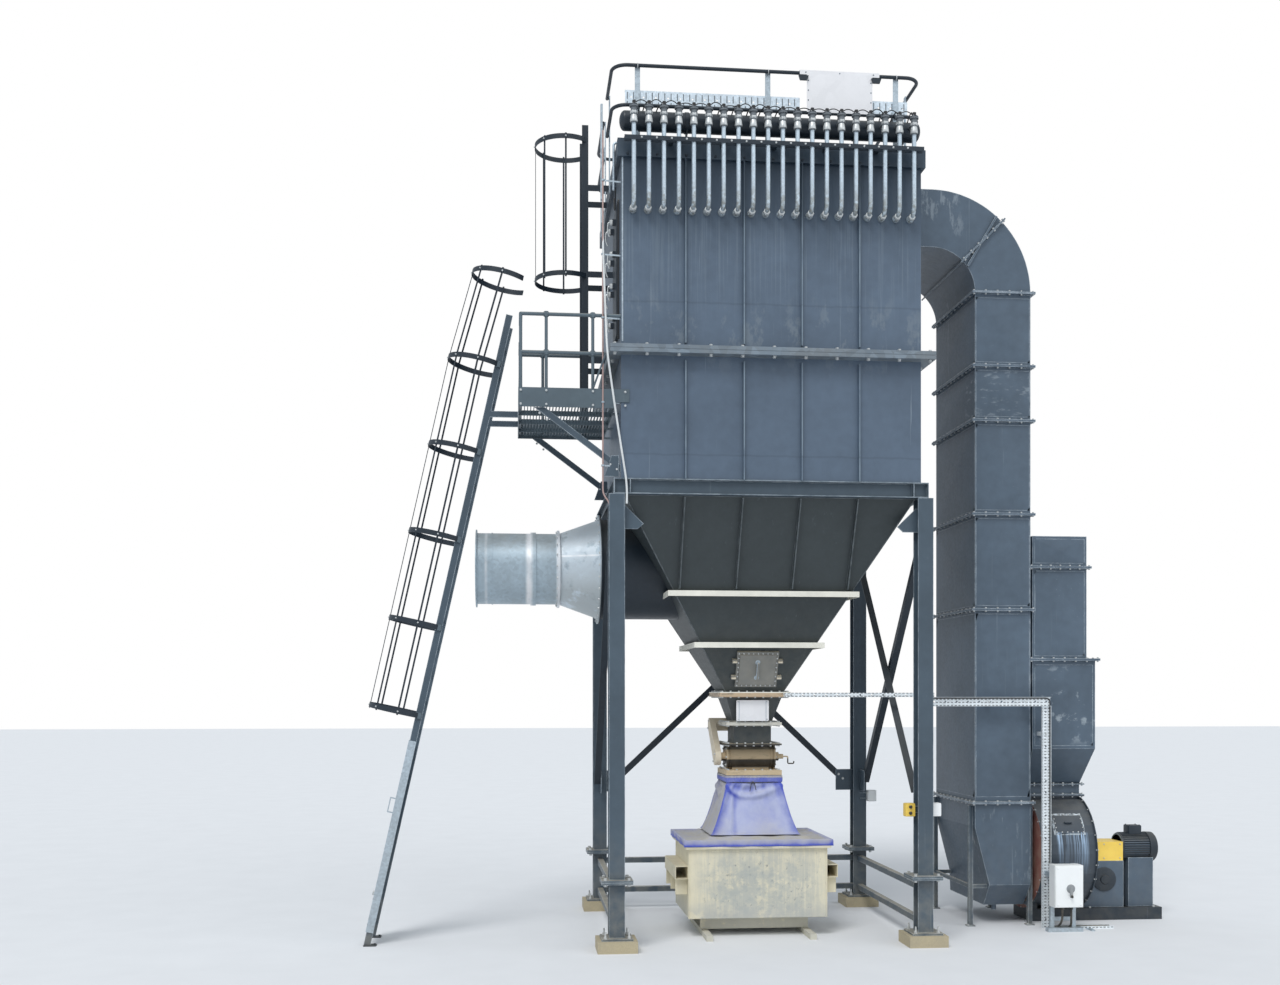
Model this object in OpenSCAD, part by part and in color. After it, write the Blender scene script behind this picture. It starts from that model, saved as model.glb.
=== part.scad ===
// Baghouse dust collector: a pulse-jet filter house on four legs, with its hopper,
// rotary valve, sleeve and bin below, ladders and platform on the left, the round
// inlet duct on the left and the rectangular outlet duct with its fan on the right.
// Millimetres, +Z up. Pieces are laid out from the centre of the four legs on the
// ground, then moved so that the origin is the centre of the whole footprint.

/* [Filter house] */
// Width of the casing, left to right
casing_w = 2920; // [2600:10:2960]
// Depth of the casing, front to back
casing_d = 2500; // [2300:10:2540]
// Height of the roof above the ground
roof_z = 7700; // [7400:10:8200]
// Height of the joint between the lower and upper casing
joint_z = 5695; // [5600:5:5900]
// Width that the bolted joint flange stands out on each side
joint_flange_w = 110; // [60:5:140]
// Thickness of each of the two joint flanges
joint_flange_t = 38; // [20:1:60]
// Width of the pressed stiffening ribs
rib_w = 24; // [16:2:40]
// Depth of the pressed stiffening ribs
rib_d = 38; // [20:1:50]
// Distance between neighbouring ribs
rib_pitch = 563; // [480:1:600]
// Height of the band round the top of the casing
band_h = 170; // [120:5:220]
// Depth of that band
band_d = 35; // [20:1:45]

/* [Frame] */
// Distance between leg centres, left to right
leg_pitch_x = 3000; // [2960:10:3100]
// Distance between leg centres, front to back
leg_pitch_y = 2400; // [2300:10:2500]
// Width of the rolled leg section
leg_w = 152; // [120:2:170]
// Flange thickness of the leg section
leg_t = 10; // [6:1:16]
// Height of the beams under the casing
beam_h = 147; // [120:1:180]
// Height of the top of those beams
beam_z = 4485; // [4300:5:4700]
// Width of the beam flanges
beam_w = 100; // [80:5:120]
// Height of the bolted splice in each leg
splice_z = 660; // [560:10:760]
// Width of the splice and base plates
plate_w = 300; // [240:10:340]
// Thickness of the splice and base plates
plate_t = 20; // [10:1:30]
// Width of the grout plinth under each leg
plinth_w = 380; // [340:10:460]
// Height of the plinth
plinth_h = 110; // [60:5:160]
// Width of the bracing bars
brace_w = 70; // [50:5:90]

/* [Hopper and valve] */
// Height of the hopper outlet
hopper_z = 2450; // [2350:10:2550]
// Width of the hopper outlet
hopper_out = 600; // [500:10:700]
// Width that each stiffening ring stands out from the hopper
ring_w = 70; // [40:5:90]
// Height of the upper stiffening ring
ring1_z = 3450; // [3400:10:3500]
// Height of the lower stiffening ring
ring2_z = 2950; // [2900:10:3000]
// Side of the inspection hatch
hatch_w = 430; // [360:10:460]
// Width of the square throat above the rotary valve
throat_w = 390; // [340:10:420]
// Side of the valve flanges
valve_flange_w = 580; // [540:10:620]
// Radius of the rotary valve housing
valve_r = 125; // [110:1:135]
// Height of the rotary valve's axis
valve_z = 1780; // [1770:1:1790]

/* [Dust bin] */
// Width of the dust bin
bin_w = 1400; // [1300:10:1450]
// Depth of the dust bin
bin_d = 1020; // [980:10:1080]
// Height of the bin's rim
bin_z = 940; // [920:5:980]
// Wall thickness of the bin
bin_wall = 6; // [4:1:10]
// Outer side of the fork pockets
pocket_w = 130; // [110:5:150]

/* [Pulse cleaning] */
// Number of pulse valves
valve_count = 20; // [16:1:20]
// Distance between neighbouring valves
valve_pitch = 142; // [136:1:144]
// Radius of the air tank
tank_r = 92; // [80:1:95]
// Height of the air tank's axis
tank_z = 7912; // [7905:1:7930]
// Radius of a drop pipe
pipe_r = 21; // [16:1:24]
// Distance from the casing face to the pipes
pipe_gap = 135; // [130:1:150]
// Height at which the pipes enter the casing
pipe_in_z = 7035; // [6980:5:7080]

/* [Roof rail] */
// Height of the top rail above the roof
rail_h = 815; // [760:5:1100]
// Height of the middle rail above the roof
mid_rail_h = 430; // [380:5:480]
// Radius of the rail pipe
rail_r = 17; // [14:1:21]

/* [Access] */
// Clear width between ladder stiles
ladder_w = 440; // [400:10:480]
// Distance between rungs
rung_pitch = 280; // [250:5:300]
// Radius of a ladder cage hoop
hoop_r = 305; // [290:5:330]
// Height of the platform deck
deck_z = 5205; // [5150:5:5300]
// Length of the platform, out from the casing
deck_l = 910; // [860:10:1000]
// Width of the platform, front to back
deck_w = 1550; // [1500:10:1600]
// Height of the platform rail above the deck
deck_rail_h = 820; // [800:10:1100]
// Slope of the lower ladder from the vertical, in degrees
ladder_tilt = 12.6; // [11:0.1:13]
// Length of the ladder guard
guard_l = 1900; // [1700:10:2000]

/* [Inlet duct] */
// Radius of the galvanised inlet duct
inlet_r = 365; // [330:5:380]
// Radius of the spigot on the hopper
spigot_r = 515; // [480:5:520]
// Height of the inlet axis
inlet_z = 3735; // [3720:1:3750]
// Wall thickness of the ducts
duct_wall = 6; // [4:1:10]
// Number of bolt holes in the inlet flange
inlet_bolts = 12; // [8:1:16]

/* [Outlet duct and fan] */
// Width of the outlet duct, left to right
outlet_w = 600; // [540:10:600]
// Depth of the outlet duct, front to back
outlet_d = 1250; // [1150:10:1300]
// Height of the outlet plenum's top flange
plenum_z = 1300; // [1250:10:1350]
// Width of the fan scroll
scroll_w = 600; // [560:10:600]
// Largest radius of the fan scroll
scroll_r = 650; // [620:5:650]
// Height of the fan axis
fan_z = 760; // [760:5:790]
// Depth of the throat above the fan scroll, front to back
throat_d = 810; // [760:10:830]
// Width of the discharge duct, left to right
discharge_w = 690; // [660:10:720]
// Depth of the discharge duct, front to back
discharge_d = 1100; // [1000:10:1120]
// Length of the fan motor
motor_l = 400; // [360:10:500]

/* [Electrical] */
// Width of the isolator box
isolator_w = 300; // [280:10:340]
// Height of the isolator box
isolator_h = 430; // [400:10:460]

/* [Hidden] */
$fn = 48;
paint = [0.27, 0.33, 0.39];
dark_paint = [0.16, 0.19, 0.22];
galvanised = [0.72, 0.77, 0.80];
dusty = [0.78, 0.72, 0.60];

// Sheet thickness shared by several pieces
sheet_t = 3;

// Half sizes of the casing
cx = casing_w / 2;
cy = casing_d / 2;
lx = leg_pitch_x / 2;
ly = leg_pitch_y / 2;
beam_low = beam_z - beam_h;
front_rail_y = -(cy - 220);
tank_y = -(cy - 80);
pipe_y = -(cy + pipe_gap);
bonnet_r = 42;
bonnet_top = tank_z + 62;
valve_low = tank_z - 112;

// Hopper half sizes at a height
hopper_cx = lx - leg_w / 2 - 8;
hopper_cy = ly - 10;
hopper_edge = 1;
hopper_h = beam_low - hopper_edge - hopper_z;
function hopper_at(half, z) = hopper_out / 2 + (half - hopper_out / 2) * (z - hopper_z) / hopper_h;
function hopper_x(z) = hopper_at(hopper_cx, z);
function hopper_y(z) = hopper_at(hopper_cy, z);
hopper_lean = atan((hopper_cy - hopper_out / 2) / hopper_h);

// Inlet run, from the hopper outwards
spigot_x = -1598;
cone_x = -2014;
inlet_x = -2860;
duct_flange_w = 35;
duct_flange_t = 12;
inlet_bolt_r = 5.5;
inlet_pcd = 2 * (inlet_r + 18);

// Outlet run
outlet_x = 2330;
outlet_y = -350;
outlet_mid_y = outlet_y + outlet_d / 2;
elbow_r = 460;
elbow_z = roof_z - elbow_r - outlet_w;
elbow_x = outlet_x - elbow_r;
outlet_flange_w = 40;
outlet_flange_t = 24;
outlet_joints = [5860, 5290, 4310, 3310];

// Fan: its axis lies behind the front of the outlet, its throat at the rear
scroll_x = outlet_x + outlet_w + 90;
fan_set = 510;
fan_y = outlet_y + fan_set;
throat_y1 = fan_y + scroll_r;
throat_y0 = throat_y1 - throat_d;
discharge_y = throat_y1 - discharge_d;
discharge_x = outlet_x + outlet_w + 45;
scroll_top = 1347;
discharge_top = 4107;
discharge_end_y = 900;
drive_x = scroll_x + scroll_w + 60;
pedestal_l = 440;
motor_x = drive_x + pedestal_l;
motor_end = motor_x + motor_l;
fan_base_h = 130;

// Ladders
stile_d = 65;
stile_t = 10;
rung_r = 11;
hoop_t = 6;
hoop_h = 50;
hoop_c = sqrt(hoop_r * hoop_r - pow(ladder_w / 2 + stile_t, 2));
foot_x = -3888;
lower_ladder_y = -525;
upper_ladder_y = -20;
upper_ladder_x = -(cx + 285);
ladder_l = 6300;

// Footprint, and the shift that puts its centre at the origin
x_min = foot_x - stile_d / 2 / cos(ladder_tilt);
x_max = motor_end;
y_min = pipe_y - bonnet_r;
y_max = max(cy + 20 + joint_flange_w, ly + plinth_w / 2);
mid_x = (x_min + x_max) / 2;
mid_y = (y_min + y_max) / 2;

// Moves a piece from the legs' frame to the footprint's frame
module site() translate([-mid_x, -mid_y, 0]) children();

// Block between two corners
module block(a, b) translate(a) cube(b - a);

// Rolled H section standing along Z
module h_section(w, t, web, h) {
    for (s = [0, 1])
        translate([-w / 2, s ? w / 2 - t : -w / 2, 0]) cube([w, t, h]);
    translate([-web / 2, -w / 2 + t / 2, 0]) cube([web, w - t, h]);
}

// Rectangular frame plate with a rectangular hole
module frame_plate(x, y, hx, hy, z, t) {
    difference() {
        block([-x, -y, z], [x, y, z + t]);
        block([-hx, -hy, z - 1], [hx, hy, z + t + 1]);
    }
}

// Flat bar of width w and thickness t from a to b, standing in the plane across Y
module bar_xz(a, b, w, t) {
    d = b - a;
    translate(a)
        rotate([0, -atan2(d[2], d[0]), 0])
            translate([0, -t / 2, -w / 2]) cube([norm(d), t, w]);
}

// The same, standing in the plane across X
module bar_yz(a, b, w, t) {
    d = b - a;
    translate(a)
        rotate([atan2(d[2], d[1]), 0, 0])
            translate([-t / 2, 0, -w / 2]) cube([t, norm(d), w]);
}

// Rolled angle of width w along its line, in the YZ plane, its other leg towards side
module angle_yz(a, b, w, t, side) {
    d = b - a;
    bar_yz(a, b, w, t);
    translate(a)
        rotate([atan2(d[2], d[1]), 0, 0])
            translate([side > 0 ? -t / 2 : t / 2 - w, 0, -w / 2]) cube([w, norm(d), t]);
}

// One pipe elbow of 90 degrees in the XY plane, from +X to +Y about the origin
module pipe_bend(bend_r, r) rotate_extrude(angle = 90) translate([bend_r, 0]) circle(r, $fn = 24);

module plinths() color(dusty) site()
    for (x = [-lx, lx], y = [-ly, ly])
        block([x - plinth_w / 2, y - plinth_w / 2, 0], [x + plinth_w / 2, y + plinth_w / 2, plinth_h]);

module stub_legs() color(paint) site()
    for (x = [-lx, lx], y = [-ly, ly])
        translate([x, y, plinth_h]) {
            translate([-plate_w / 2, -plate_w / 2, 0]) cube([plate_w, plate_w, plate_t]);
            translate([-plate_w / 2, -plate_w / 2, splice_z - plinth_h - plate_t])
                cube([plate_w, plate_w, plate_t]);
            h_section(leg_w, leg_t, leg_t, splice_z - plinth_h);
        }

module columns() color(paint) site()
    for (x = [-lx, lx], y = [-ly, ly])
        translate([x, y, splice_z]) {
            translate([-plate_w / 2, -plate_w / 2, 0]) cube([plate_w, plate_w, plate_t]);
            h_section(leg_w, leg_t, leg_t, beam_low - splice_z);
        }

// Horizontal ties between the stub legs, at two heights on three sides
tie_low = 190;
tie_high = 520;
tie_h = 60;
module tie_beams() color(paint) site()
    for (z = [tie_low, tie_high]) {
        for (s = [-1, 1])
            block([s * lx - 30, -ly + leg_w / 2, z], [s * lx + 30, ly - leg_w / 2, z + tie_h]);
        block([-lx + leg_t / 2, ly - 30, z], [lx - leg_t / 2, ly + 30, z + tie_h]);
    }

// Bracing: an X of two angles on each side and one of two flat bars at the rear
gusset_t = 10;
gusset_l = 190;
brace_low = 1450;
brace_high = 3950;
module diagonal_braces() color(dark_paint) site() {
    y0 = ly - leg_w / 2 - gusset_l / 2;
    x0 = lx - leg_w / 2 - gusset_l / 2;
    for (s = [-1, 1], t = [-1, 1])
        translate([s * (lx + t * gusset_t), 0, 0])
            angle_yz([0, -t * y0, brace_high], [0, t * y0, brace_low], brace_w, gusset_t, s * t);
    for (t = [-1, 1])
        bar_xz([-t * x0, ly + t * gusset_t, brace_high], [t * x0, ly + t * gusset_t, brace_low],
            brace_w, gusset_t);
}

// Shape of a corner gusset: out from the leg along X, and down from the beam
knee_top = 96;
knee_low = 327;
knee_shape = [[-1, knee_top], [0, knee_top], [185, 275], [128, knee_low], [-1, knee_low]];

module gusset_plates() color(paint) site() {
    y0 = ly - leg_w / 2;
    x0 = lx - leg_w / 2;
    web_gap = (leg_w - leg_t) / 2;
    // Plates that carry the bracing
    for (s = [-1, 1], z = [brace_low, brace_high]) {
        for (t = [-1, 1])
            translate([s * lx, t * (y0 - gusset_l / 2), z])
                cube([gusset_t, gusset_l, 240], center = true);
        translate([s * (x0 - gusset_l / 2 + web_gap / 2), ly, z])
            cube([gusset_l + web_gap, gusset_t, 240], center = true);
    }
    // Corner gussets under the front and rear beams
    for (s = [-1, 1], t = [-1, 1])
        translate([s * (lx - leg_w / 2), t * ly, beam_low]) mirror([s > 0 ? 1 : 0, 0, 0]) mirror([0, 0, 1])
            {
                rotate([90, 0, 0]) translate([0, 0, -gusset_t / 2]) linear_extrude(gusset_t)
                    polygon(knee_shape);
                block([-web_gap, -gusset_t / 2, knee_top], [0, gusset_t / 2, knee_low]);
            }
}

// One beam of I section along X, centred on X, its top at z = 0
module beam_x(len, w, h, t) {
    for (z = [-t, -h]) translate([-len / 2, -w / 2, z]) cube([len, w, t]);
    translate([-len / 2, -t / 2, -h]) cube([len, t, h]);
}

beam_t = 10;
beam_out_x = 30;
beam_out_y = 75;
module base_frame() color(paint) site() translate([0, 0, beam_z]) {
    bx = lx + beam_out_x;
    by = ly + beam_out_y;
    for (s = [-1, 1]) {
        translate([0, s * (by - beam_w / 2), 0]) beam_x(2 * bx, beam_w, beam_h, beam_t);
        translate([s * (bx - beam_w / 2), 0, 0]) rotate([0, 0, 90])
            beam_x(2 * by - beam_w, beam_w, beam_h, beam_t);
        // End stiffeners over the legs
        for (x = [-bx, -bx + leg_w, bx - leg_w, bx - beam_t])
            translate([x, s * (by - beam_w / 2) - beam_w / 2, -beam_h]) cube([beam_t, beam_w, beam_h]);
    }
}

// Pressed rib, a trapezoid in plan, standing on a face across Y
module rib(h) linear_extrude(h)
    polygon([[-rib_w / 2, 1], [rib_w / 2, 1], [rib_w / 4, -rib_d], [-rib_w / 4, -rib_d]]);

// The four ribs of the front and rear, and three of each side, from z0 to z1
module ribs(z0, z1) {
    for (a = [0, 180], i = [-1.5:1.5])
        rotate([0, 0, a]) translate([i * rib_pitch, -cy, z0]) rib(z1 - z0);
    for (i = [-1:1])
        rotate([0, 0, 90]) translate([i * rib_pitch, -cx, z0]) rib(z1 - z0);
}

rib_gap = 45;
module lower_casing() color(paint) site() {
    block([-cx, -cy, beam_z], [cx, cy, joint_z]);
    ribs(beam_z, joint_z - joint_flange_t - rib_gap);
}

module joint_flange() color(galvanised) site() {
    fx = cx + joint_flange_w;
    fy = cy + 20 + joint_flange_w;
    for (s = [0, 1])
        frame_plate(fx, fy, cx, cy, joint_z + (s ? 1.5 : -joint_flange_t), joint_flange_t - 1.5);
    frame_plate(fx - 12, fy - 12, cx, cy, joint_z - 2, 4);
}

module upper_casing() color(paint) site() difference() {
    union() {
        block([-cx, -cy, joint_z], [cx, cy, roof_z]);
        ribs(joint_z + joint_flange_t + rib_gap, roof_z - band_h);
        block([-cx - band_d, -cy - band_d, roof_z - band_h], [cx + band_d, cy + band_d, roof_z]);
    }
    // Clear face for the outlet collar
    block([cx, outlet_y - 45, elbow_z + elbow_r - 45],
        [cx + 100, outlet_y + outlet_d + 45, roof_z + 1]);
}

module roof_deck() color(galvanised) site()
    block([-cx + 60, -cy + 260, roof_z], [cx - 60, cy - 120, roof_z + 6]);

// Clamped access door on the left side, over the platform
door_w = 560;
door_h = 1250;
door_y = -820;
door_z = 5900;
module access_door() color(dark_paint) site() {
    translate([-cx, door_y, door_z]) {
        block([-28, -door_w / 2 + 60, 0], [0, door_w / 2 - 60, door_h]);
        for (z = [160, 470, 780, 1090], s = [-1, 1])
            block([-60, s * 130 - 22, z], [-28, s * 130 + 22, z + 50]);
    }
}

// Two flat bars in front of the top band that clamp the drop pipes, with their stand-offs
clamp_h = 40;
clamp_t = 8;
module pipe_rail() color(dark_paint) site() {
    z = roof_z - 62;
    for (y = [pipe_y - pipe_r - clamp_t, pipe_y + pipe_r])
        block([-cx + 20, y, z], [cx - 20, y + clamp_t, z + clamp_h]);
    for (i = [-2:2])
        block([i * 3.5 * valve_pitch - 20, pipe_y + pipe_r + clamp_t, z],
            [i * 3.5 * valve_pitch + 20, -cy - band_d, z + clamp_h]);
}

tank_l = casing_w + 20;
module air_tank() color(dark_paint) site() translate([0, tank_y, tank_z]) {
    rotate([0, 90, 0]) translate([0, 0, -tank_l / 2 + 50]) cylinder(r = tank_r, h = tank_l - 100);
    for (s = [0, 1]) mirror([s, 0, 0]) translate([tank_l / 2 - 50, 0, 0]) rotate([0, 90, 0])
        rotate_extrude() polygon(concat([[0, 0]], [for (a = [0:15:90]) [tank_r * cos(a), 50 * sin(a)]]));
}

stand_x = 825;
module tank_stands() color(dark_paint) site()
    for (s = [-1, 1]) translate([s * stand_x, tank_y, roof_z]) difference() {
        union() {
            block([-45, -60, 0], [45, 60, 8]);
            block([-5, -50, 0], [5, 50, tank_z - roof_z]);
        }
        translate([-50, 0, tank_z - roof_z]) rotate([0, 90, 0]) cylinder(r = tank_r, h = 100);
    }

// Right-angle pulse valve: inlet stub from the tank, body, bonnet and solenoid, and
// the bell-shaped nut below
module pulse_valves() color(galvanised) site()
    for (i = [0:valve_count - 1])
        translate([(i - (valve_count - 1) / 2) * valve_pitch, pipe_y, tank_z]) {
            difference() {
                rotate([-90, 0, 0]) cylinder(r = 20, h = tank_y - pipe_y, $fn = 24);
                translate([-30, tank_y - pipe_y, 0]) rotate([0, 90, 0]) cylinder(r = tank_r, h = 60);
            }
            translate([0, 0, -40]) cylinder(r = 31, h = 80, $fn = 24);
            translate([0, 0, 36]) cylinder(r = bonnet_r, h = 14, $fn = 24);
            translate([0, 0, 50]) cylinder(r = 15, h = 12, $fn = 24);
            translate([0, 0, -112]) cylinder(r1 = 33, r2 = 22, h = 74, $fn = 24);
        }

bend_r = 80;
socket_r = 32;
socket_l = 26;
module drop_pipes() color(galvanised) site()
    for (i = [0:valve_count - 1])
        translate([(i - (valve_count - 1) / 2) * valve_pitch, pipe_y, 0]) {
            translate([0, 0, pipe_in_z + bend_r])
                cylinder(r = pipe_r, h = valve_low - pipe_in_z - bend_r, $fn = 24);
            translate([0, bend_r, pipe_in_z + bend_r]) rotate([0, -90, 0]) rotate([0, 0, 180])
                pipe_bend(bend_r, pipe_r);
            translate([0, bend_r, pipe_in_z]) rotate([-90, 0, 0])
                cylinder(r = pipe_r, h = pipe_gap - bend_r, $fn = 24);
            translate([0, pipe_gap - socket_l, pipe_in_z]) rotate([-90, 0, 0])
                cylinder(r = socket_r, h = socket_l, $fn = 24);
        }

// Places of the roof rail: the front and rear runs, the sides and the ladder gap
post_t = 12;
post_w = 50;
rail_x = cx + band_d + post_t + rail_r;
rail_back_y = cy - 60;
corner_r = 150;
gap_y0 = upper_ladder_y - 300;
gap_y1 = upper_ladder_y + 300;
front_posts = [-1280, 0, 1280];
post_top = roof_z + rail_h + 12;
module side_post(x, y)
    block([x, y - post_w / 2, roof_z - band_h + 20], [x + post_t, y + post_w / 2, post_top]);

module guard_posts() color(galvanised) site() {
    for (x = front_posts, s = [0, 1]) {
        y = s ? rail_back_y - rail_r - post_t : front_rail_y + rail_r;
        block([x - post_w / 2, y, roof_z], [x + post_w / 2, y + post_t, post_top]);
    }
    // Side posts, fixed to the outer face of the band
    for (y = [gap_y0, gap_y1, 950]) side_post(-rail_x + rail_r, y);
    for (y = [outlet_y - 250, outlet_y + outlet_d + 105]) side_post(rail_x - rail_r - post_t, y);
}

// One rail round the roof, open at the ladder, with round corners
module roof_rail(z) {
    a = rail_x - corner_r;
    f = front_rail_y + corner_r;
    b = rail_back_y - corner_r;
    translate([0, 0, z]) {
        for (y = [front_rail_y, rail_back_y]) translate([-a, y, 0]) rotate([0, 90, 0])
            cylinder(r = rail_r, h = 2 * a, $fn = 24);
        translate([rail_x, f, 0]) rotate([-90, 0, 0]) cylinder(r = rail_r, h = b - f, $fn = 24);
        translate([-rail_x, f, 0]) rotate([-90, 0, 0]) cylinder(r = rail_r, h = gap_y0 + 20 - f, $fn = 24);
        translate([-rail_x, gap_y1 - 20, 0]) rotate([-90, 0, 0])
            cylinder(r = rail_r, h = b - gap_y1 + 20, $fn = 24);
        translate([a, b, 0]) pipe_bend(corner_r, rail_r);
        translate([-a, b, 0]) rotate([0, 0, 90]) pipe_bend(corner_r, rail_r);
        translate([-a, f, 0]) rotate([0, 0, 180]) pipe_bend(corner_r, rail_r);
        translate([a, f, 0]) rotate([0, 0, 270]) pipe_bend(corner_r, rail_r);
    }
}

module roof_rails() color(dark_paint) site() for (h = [mid_rail_h, rail_h]) roof_rail(roof_z + h);

// Channel-shaped cable tray along X with round holes in its back and its lips
// standing out to the rear (side 1) or to the front (side -1)
module tray_x(l, w, lip, side) difference() {
    union() {
        block([0, 0, 0], [l, sheet_t, w]);
        for (z = [0, w - sheet_t]) translate([0, side > 0 ? 0 : sheet_t - lip, z]) cube([l, lip, sheet_t]);
    }
    for (x = [60:120:l - 40])
        translate([x, -1, w / 2]) rotate([-90, 0, 0]) cylinder(r = 9, h = 8, $fn = 16);
}

tray_w = 130;
tray_lip = 45;
tray_hang_y = front_rail_y + rail_r + post_t;
module roof_cable_tray() color(galvanised) site()
    for (t = [[-1400, 1720], [930, 470]])
        translate([t[0], tray_hang_y, roof_z + mid_rail_h + rail_r + 10])
            tray_x(t[1], tray_w, tray_lip, 1);

panel_x0 = 380;
panel_x1 = 1035;
panel_h = 385;
panel_cap = 70;
module hung_panel() color([0.85, 0.86, 0.88]) site() {
    y = front_rail_y - rail_r - sheet_t;
    z = roof_z + rail_h;
    block([panel_x0, y, z - panel_h], [panel_x1, y + sheet_t, z + rail_r + 6]);
    block([panel_x0 - panel_cap, y, z + rail_r],
        [panel_x1 + panel_cap, -y + 2 * front_rail_y, z + rail_r + 6]);
    block([panel_x0 - panel_cap, y, z - 20], [panel_x1 + panel_cap, y + sheet_t, z + rail_r + 6]);
}

// Platform on the left: an angle frame, grating bars and toe boards
deck_x1 = -(cx + 60);
deck_x0 = deck_x1 - deck_l;
deck_y0 = -(cy + 10);
deck_y1 = deck_y0 + deck_w;
deck_frame = 60;
grate_t = 30;
toe_h = 122;
toe_t = 6;
module platform_deck() color(paint) site() {
    difference() {
        block([deck_x0, deck_y0, deck_z - deck_frame], [deck_x1, deck_y1, deck_z]);
        block([deck_x0 + 8, deck_y0 + 8, deck_z - grate_t - 100],
            [deck_x1 - 8, deck_y1 - 8, deck_z - grate_t]);
        for (i = [0:27])
            translate([deck_x0 + 30 + i * (deck_l - 60) / 28 + 4, deck_y0 + 30, deck_z - 50])
                cube([(deck_l - 60) / 28 - 8, deck_w - 60, 100]);
    }
    // Cross bars, which also carry the braces
    for (y = [deck_y0 + 400, deck_y0 + 800, deck_y0 + 1200])
        block([deck_x0 + 4, y, deck_z - deck_frame], [deck_x1 - 4, y + 8, deck_z - 10]);
    // Toe boards on the three open sides, with the gap to the lower ladder; the front
    // one runs on past the corner of the casing
    top = deck_z + toe_h;
    block([deck_x0, deck_y0, deck_z - 1], [-cx + 80, deck_y0 + toe_t, top]);
    block([deck_x0, deck_y1 - toe_t, deck_z - 1], [deck_x1, deck_y1, top]);
    block([deck_x0, lower_ladder_y + 300, deck_z - 1], [deck_x0 + toe_t, deck_y1, top]);
    block([deck_x0, deck_y0, deck_z - 1], [deck_x0 + toe_t, lower_ladder_y - 300, top]);
    // Cleats on the casing
    for (y = [-1000, -300, 180])
        block([deck_x1 - 1, y, deck_z - deck_frame], [-cx, y + 60, deck_z - deck_frame + 10]);
}

post_r = rail_r - 2;
deck_mid_h = 0.56 * deck_rail_h;
deck_posts = [0, 240, 680];
module platform_rails() color(dark_paint) site() {
    in = rail_r + toe_t;
    x0 = deck_x0 + in;
    y0 = deck_y0 + in;
    y1 = deck_y1 - in;
    // Top rails up to the casing, middle rails up to the edge of its joint flange
    for (y = [y0, y1], t = [[deck_rail_h, -cx], [deck_mid_h, -cx - joint_flange_w]])
        translate([x0, y, deck_z + t[0]]) rotate([0, 90, 0])
            cylinder(r = rail_r, h = t[1] - x0, $fn = 24);
    for (y = [y0, y1], x = deck_posts)
        translate([x0 + x, y, deck_z]) cylinder(r = post_r, h = deck_rail_h, $fn = 24);
    for (s = [-1, 1]) {
        ye = lower_ladder_y + s * 320;
        yc = s < 0 ? y0 : y1;
        for (z = [deck_rail_h, deck_mid_h])
            translate([x0, min(ye, yc), deck_z + z]) rotate([-90, 0, 0])
                cylinder(r = rail_r, h = abs(ye - yc), $fn = 24);
        translate([x0, ye, deck_z]) cylinder(r = post_r, h = deck_rail_h, $fn = 24);
    }
}

module platform_braces() color(paint) site()
    for (y = [deck_y0 + 26, deck_y1 - 20])
        difference() {
            bar_xz([deck_x0 + 160, y, deck_z - deck_frame + 30], [-cx + 40, y, beam_z + 60], 60, 12);
            block([deck_x0, y - 50, deck_z - deck_frame], [deck_x1 + 500, y + 50, deck_z + 200]);
            block([-cx, y - 50, beam_low], [0, y + 50, deck_z]);
        }

// Stiles of a ladder standing along Z: its plane at x = 0, climbed from the -X side
module stiles(len)
    for (s = [-1, 1])
        translate([-stile_d / 2, s > 0 ? ladder_w / 2 : -ladder_w / 2 - stile_t, 0])
            cube([stile_d, stile_t, len]);

module rungs(z0, z1)
    for (z = [z0:rung_pitch:z1])
        translate([0, -ladder_w / 2, z]) rotate([-90, 0, 0])
            cylinder(r = rung_r, h = ladder_w, $fn = 24);

// One flat hoop of a ladder cage, from stile to stile
cage_a0 = atan2(ladder_w / 2 + stile_t, hoop_c);
hoop_lap = 6;
module hoop(z) difference() {
    translate([-hoop_c, 0, z]) rotate([0, 0, cage_a0 - hoop_lap])
        rotate_extrude(angle = 360 - 2 * (cage_a0 - hoop_lap))
            translate([hoop_r, 0]) square([hoop_t, hoop_h]);
    for (s = [-1, 1])
        translate([-stile_d / 2, s > 0 ? ladder_w / 2 - 20 : -ladder_w / 2 - stile_t, z - 1])
            cube([200, stile_t + 20, hoop_h + 2]);
}

// One strap down the inside of the hoops, at angle a round the cage
strap_w = 18;
strap_x = sqrt(hoop_r * hoop_r - strap_w * strap_w / 4) - hoop_t;
strap_end = 10;
strap_angles = [90, 135, 180, 225, 270];
module strap(a, z0, z1) translate([-hoop_c, 0, 0]) rotate([0, 0, a])
    translate([strap_x, -strap_w / 2, z0]) cube([hoop_t, strap_w, z1 - z0]);

// Moves a piece to the foot of the upper ladder
upper_ladder_z = deck_z;
upper_ladder_l = roof_z + 560 - deck_z;
module on_upper() translate([upper_ladder_x, upper_ladder_y, upper_ladder_z]) children();

// Heights above the platform of the brackets to the casing, and the bracket to the band
bracket_h = 60;
bracket_z = [620, 1500];
band_bracket_z = roof_z - deck_z - 110;
module upper_ladder() color(dark_paint) site() on_upper() {
    stiles(upper_ladder_l);
    for (s = [-1, 1]) {
        y = s > 0 ? ladder_w / 2 : -ladder_w / 2 - stile_t;
        for (z = bracket_z)
            block([stile_d / 2 - 1, y, z], [-upper_ladder_x - cx, y + stile_t, z + bracket_h]);
        block([stile_d / 2 - 1, y, band_bracket_z],
            [-upper_ladder_x - cx - band_d, y + stile_t, band_bracket_z + bracket_h]);
    }
}

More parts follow.
